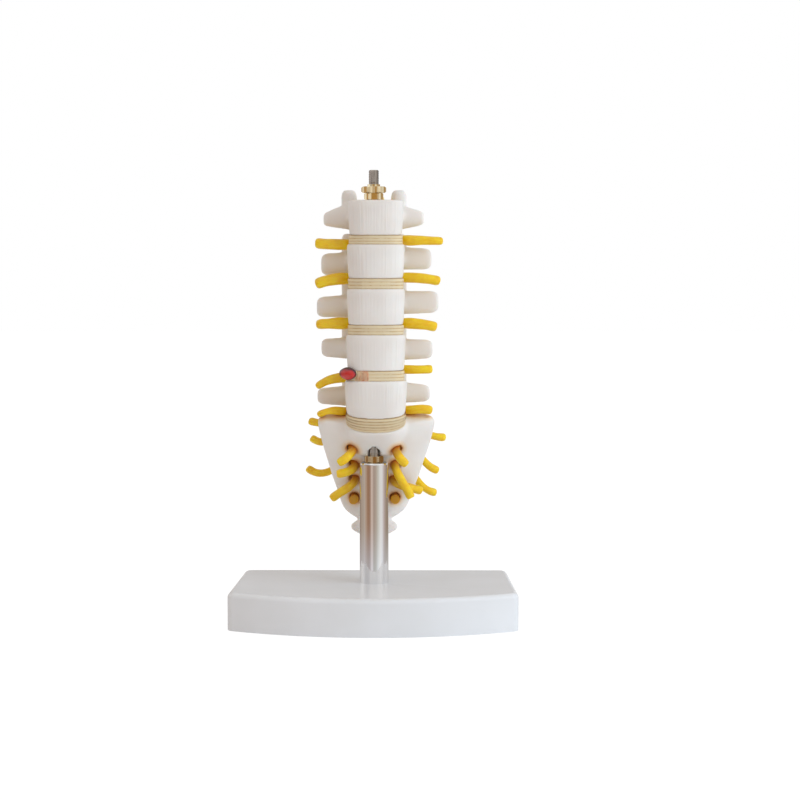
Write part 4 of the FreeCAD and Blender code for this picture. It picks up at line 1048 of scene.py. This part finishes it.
# %% The tree that frays a disc's rim
def fibre_tree():
    """Short bent strands at chance places along the disc's rim, each leaning its own way."""
    tree, given = start_tree("torn fibres", {
        "Middle": "Vector", "Half width": "Float", "Half depth": "Float",
        "From angle": "Float", "To angle": "Float", "Height": "Float",
        "Thickness": "Float", "Strands": "Int", "Seed": "Int", "Vinyl": "Material"})
    index = add(tree, "GeometryNodeInputIndex")

    def chance(low, high, extra):
        seed = add(tree, MATH, "ADD", (given["Seed"], float(extra)))
        return add(tree, "FunctionNodeRandomValue", {"data_type": "FLOAT"}, {
            2: low, 3: high, "ID": index, "Seed": seed})

    span = add(tree, MATH, "SUBTRACT", (given["To angle"], given["From angle"]))
    angle = add(tree, MATH, "MULTIPLY_ADD", (chance(0.0, 1.0, 1), span, given["From angle"]))
    spot = oval_spot(tree, given, angle, chance(0.955, 1.0, 2))
    points = add(tree, "GeometryNodePoints", inputs={
        "Count": given["Strands"], "Position": spot})
    half = add(tree, MATH, "MULTIPLY", (given["Height"], 0.5))
    down = add(tree, MATH, "MULTIPLY", (half, -1.0))
    bend = add(tree, "GeometryNodeCurvePrimitiveBezierSegment", {"mode": "POSITION"}, {
        "Resolution": 8, "Start": add(tree, XYZ, inputs={"Z": down}),
        "Start Handle": (0.0003, -0.0005, -0.0006), "End Handle": (-0.0003, -0.0005, 0.0007),
        "End": add(tree, XYZ, inputs={"Z": half})})
    section = add(tree, "GeometryNodeCurvePrimitiveCircle", {"mode": "RADIUS"}, {
        "Resolution": 7, "Radius": given["Thickness"]})
    strand = add(tree, "GeometryNodeCurveToMesh", inputs={
        "Curve": bend, "Profile Curve": section, "Fill Caps": True})
    lean = add(tree, XYZ, inputs=(
        chance(-0.12, 0.12, 3), chance(-0.2, 0.2, 4), chance(-0.6, 0.6, 5)))
    turned = add(tree, "FunctionNodeEulerToRotation", inputs={"Euler": lean})
    thick = chance(0.7, 1.5, 6)
    size = add(tree, XYZ, inputs=(thick, thick, chance(0.8, 1.02, 7)))
    strands = add(tree, "GeometryNodeInstanceOnPoints", inputs={
        "Points": points, "Instance": strand, "Rotation": turned, "Scale": size})
    return end_tree(tree, strands.outputs[:1], given["Vinyl"])


FIBRES = fibre_tree()
print(FIBRES.name, len(FIBRES.nodes), "nodes")

# %% Frayed fibres, a little proud of the disc and just past both its faces
FIBRE_PROUD = 0.1 * MM

low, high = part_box("disc_l4_l5")
fibres = run_tree(new_piece("torn_fibres"), FIBRES, {
    "Middle": (SPINE_X, ROD_Y, (low.z + high.z) / 2),
    "Half width": (high.x - low.x) / 2 + FIBRE_PROUD,
    "Half depth": (high.y - low.y) / 2 + FIBRE_PROUD, "From angle": math.radians(226),
    "To angle": math.radians(255), "Height": high.z - low.z + 2 * FIBRE_PROUD,
    "Thickness": 0.2 * MM, "Strands": 150, "Seed": 6, "Vinyl": FIBRE})
finish_piece(fibres, FIBRE)
print(fibres.name, len(fibres.data.polygons), "faces")

# %% [markdown]
# ## Metal
#
# Metal parts are turned or rolled, so they are built as turned shapes: an outline of
# (radius, height) corners swept once round the rod's axis. The rod's thread is cut into
# such a shape by moving its points in and out with height and angle together, which makes
# a true screw. Hexagons come from the solid model, with their edges eased.

# %% Turned parts
TURN_STEPS = 96


def round_rod(radius, angle, height):
    """The point at an angle round the rod's axis, its radius and height in mm."""
    return (ROD_X + radius * MM * math.cos(angle), ROD_Y + radius * MM * math.sin(angle),
            height * MM)


def turned(name, outline_mm):
    """Sweeps a closed outline of (radius, height) corners round the rod's axis."""
    count = len(outline_mm)
    points = [round_rod(radius, math.tau * step / TURN_STEPS, height)
              for step in range(TURN_STEPS) for radius, height in outline_mm]
    faces = []
    for step in range(TURN_STEPS):
        this, following = step * count, (step + 1) % TURN_STEPS * count
        for corner in range(count):
            after = (corner + 1) % count
            faces.append((this + corner, following + corner, following + after, this + after))
    return new_piece(name, points, faces)


def metal_piece(piece, material, node_name):
    """Edges sharper than 30 degrees stay crisp, and large faces shade as truly flat."""
    piece.data.shade_smooth()
    piece.data.set_sharp_from_angle(angle=math.radians(30))
    weigh = piece.modifiers.new("flat faces", "WEIGHTED_NORMAL")
    weigh.keep_sharp = True
    return put_on_stand(baked(piece), material, node_name)


low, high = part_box("column_tube")
outer = (high.x - low.x) / 2 / MM
foot, rim = low.z / MM, high.z / MM
# The wall is 1 mm thick, and the mouth's outer edge is rounded by 0.7 mm in three facets
inner = outer - 1.0
tube = turned("chromed_column", [
    (inner, foot), (outer, foot), (outer, rim - 1.0), (outer, rim - 0.7),
    (outer - 0.1, rim - 0.32), (outer - 0.32, rim - 0.1), (outer - 0.7, rim), (inner, rim)])
metal_piece(tube, CHROME, "column_tube")
print("tube", round(outer * 2, 2), "mm across, from", round(foot, 1), "to", round(rim, 1))

# %% Tie rod, threaded at its foot, under the column nut and at its top
THREAD_PITCH = 0.8
THREAD_DEPTH = 0.14
ROD_STEPS = 40

low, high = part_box("tie_rod")
rod_radius = (high.x - low.x) / 2 / MM
rod_foot, rod_top = low.z / MM, high.z / MM
THREADS = [(rod_foot + 0.4, rod_foot + 9.0), (76.0, 88.0), (rod_top - 17.0, rod_top - 0.3)]
# The thread grows to its full depth over THREAD_RISE, and each end is rounded off by END_EASE
THREAD_RISE, THREAD_ROWS = 0.4, 8
END_EASE = 0.5


def threaded_rod():
    """Closely spaced rows where there is thread, and none between."""
    heights = [rod_foot, rod_foot + END_EASE]
    for begin, end in THREADS:
        rows = int((end - begin) / (THREAD_PITCH / THREAD_ROWS))
        heights += list(np.linspace(begin, end, rows + 1))
    heights = sorted(set(round(height, 4) for height in heights + [rod_top]))
    points, faces = [], []
    for height in heights:
        in_thread = max(min((height - begin) / THREAD_RISE, (end - height) / THREAD_RISE, 1)
                        for begin, end in THREADS)
        from_end = min(height - rod_foot, rod_top - height)
        end_cut = END_EASE * max(0, 1 - from_end / END_EASE)
        for step in range(ROD_STEPS):
            phase = (height / THREAD_PITCH - step / ROD_STEPS) % 1.0
            cut = abs(phase * 2 - 1) * THREAD_DEPTH * max(in_thread, 0)
            radius = rod_radius - max(cut, end_cut)
            points.append(round_rod(radius, math.tau * step / ROD_STEPS, height))
    for row in range(len(heights) - 1):
        for step in range(ROD_STEPS):
            after = (step + 1) % ROD_STEPS
            faces.append((row * ROD_STEPS + step, row * ROD_STEPS + after,
                          (row + 1) * ROD_STEPS + after, (row + 1) * ROD_STEPS + step))
    faces.append(tuple(range(ROD_STEPS))[::-1])
    faces.append(tuple((len(heights) - 1) * ROD_STEPS + step for step in range(ROD_STEPS)))
    return new_piece("threaded_rod", points, faces)


rod = metal_piece(threaded_rod(), STEEL, "tie_rod")
print(rod.name, len(rod.data.polygons), "faces")

# %% Nuts, washer and plug with their edges eased, and the base
def eased(name, node_name, width_mm):
    """A copy of a solid whose sharp edges are rounded off a little, as real ones are."""
    piece = sewn_copy(name, node_name)
    form = bmesh.new()
    form.from_mesh(piece.data)
    bmesh.ops.dissolve_limit(form, angle_limit=math.radians(1), verts=form.verts, edges=form.edges)
    form.to_mesh(piece.data)
    form.free()
    if width_mm > 0:
        ease = piece.modifiers.new("ease", "BEVEL")
        ease.width = width_mm * MM
        ease.segments = 3
        ease.limit_method = "ANGLE"
        ease.angle_limit = math.radians(35)
        ease.use_clamp_overlap = True
    return baked(piece)


for name, material, slot, width in (
        ("base_nut", STEEL, "zinc_steel", 0.12), ("base_washer", STEEL, "zinc_steel", 0.15),
        ("column_plug", STEEL, "zinc_steel", 0.1), ("column_nut", BRASS, "brass", 0.12),
        ("top_nut", BRASS, "brass", 0.12), ("top_fitting", BRASS, "brass", 0.12)):
    piece = metal_piece(eased("eased_" + name, name, width), material, name)
    print(piece.name, len(piece.data.polygons), "faces")

tray = metal_piece(eased("styrene_tray", "base_shell", 0.0), BASE, "base_shell")
print(tray.name, len(tray.data.polygons), "faces")
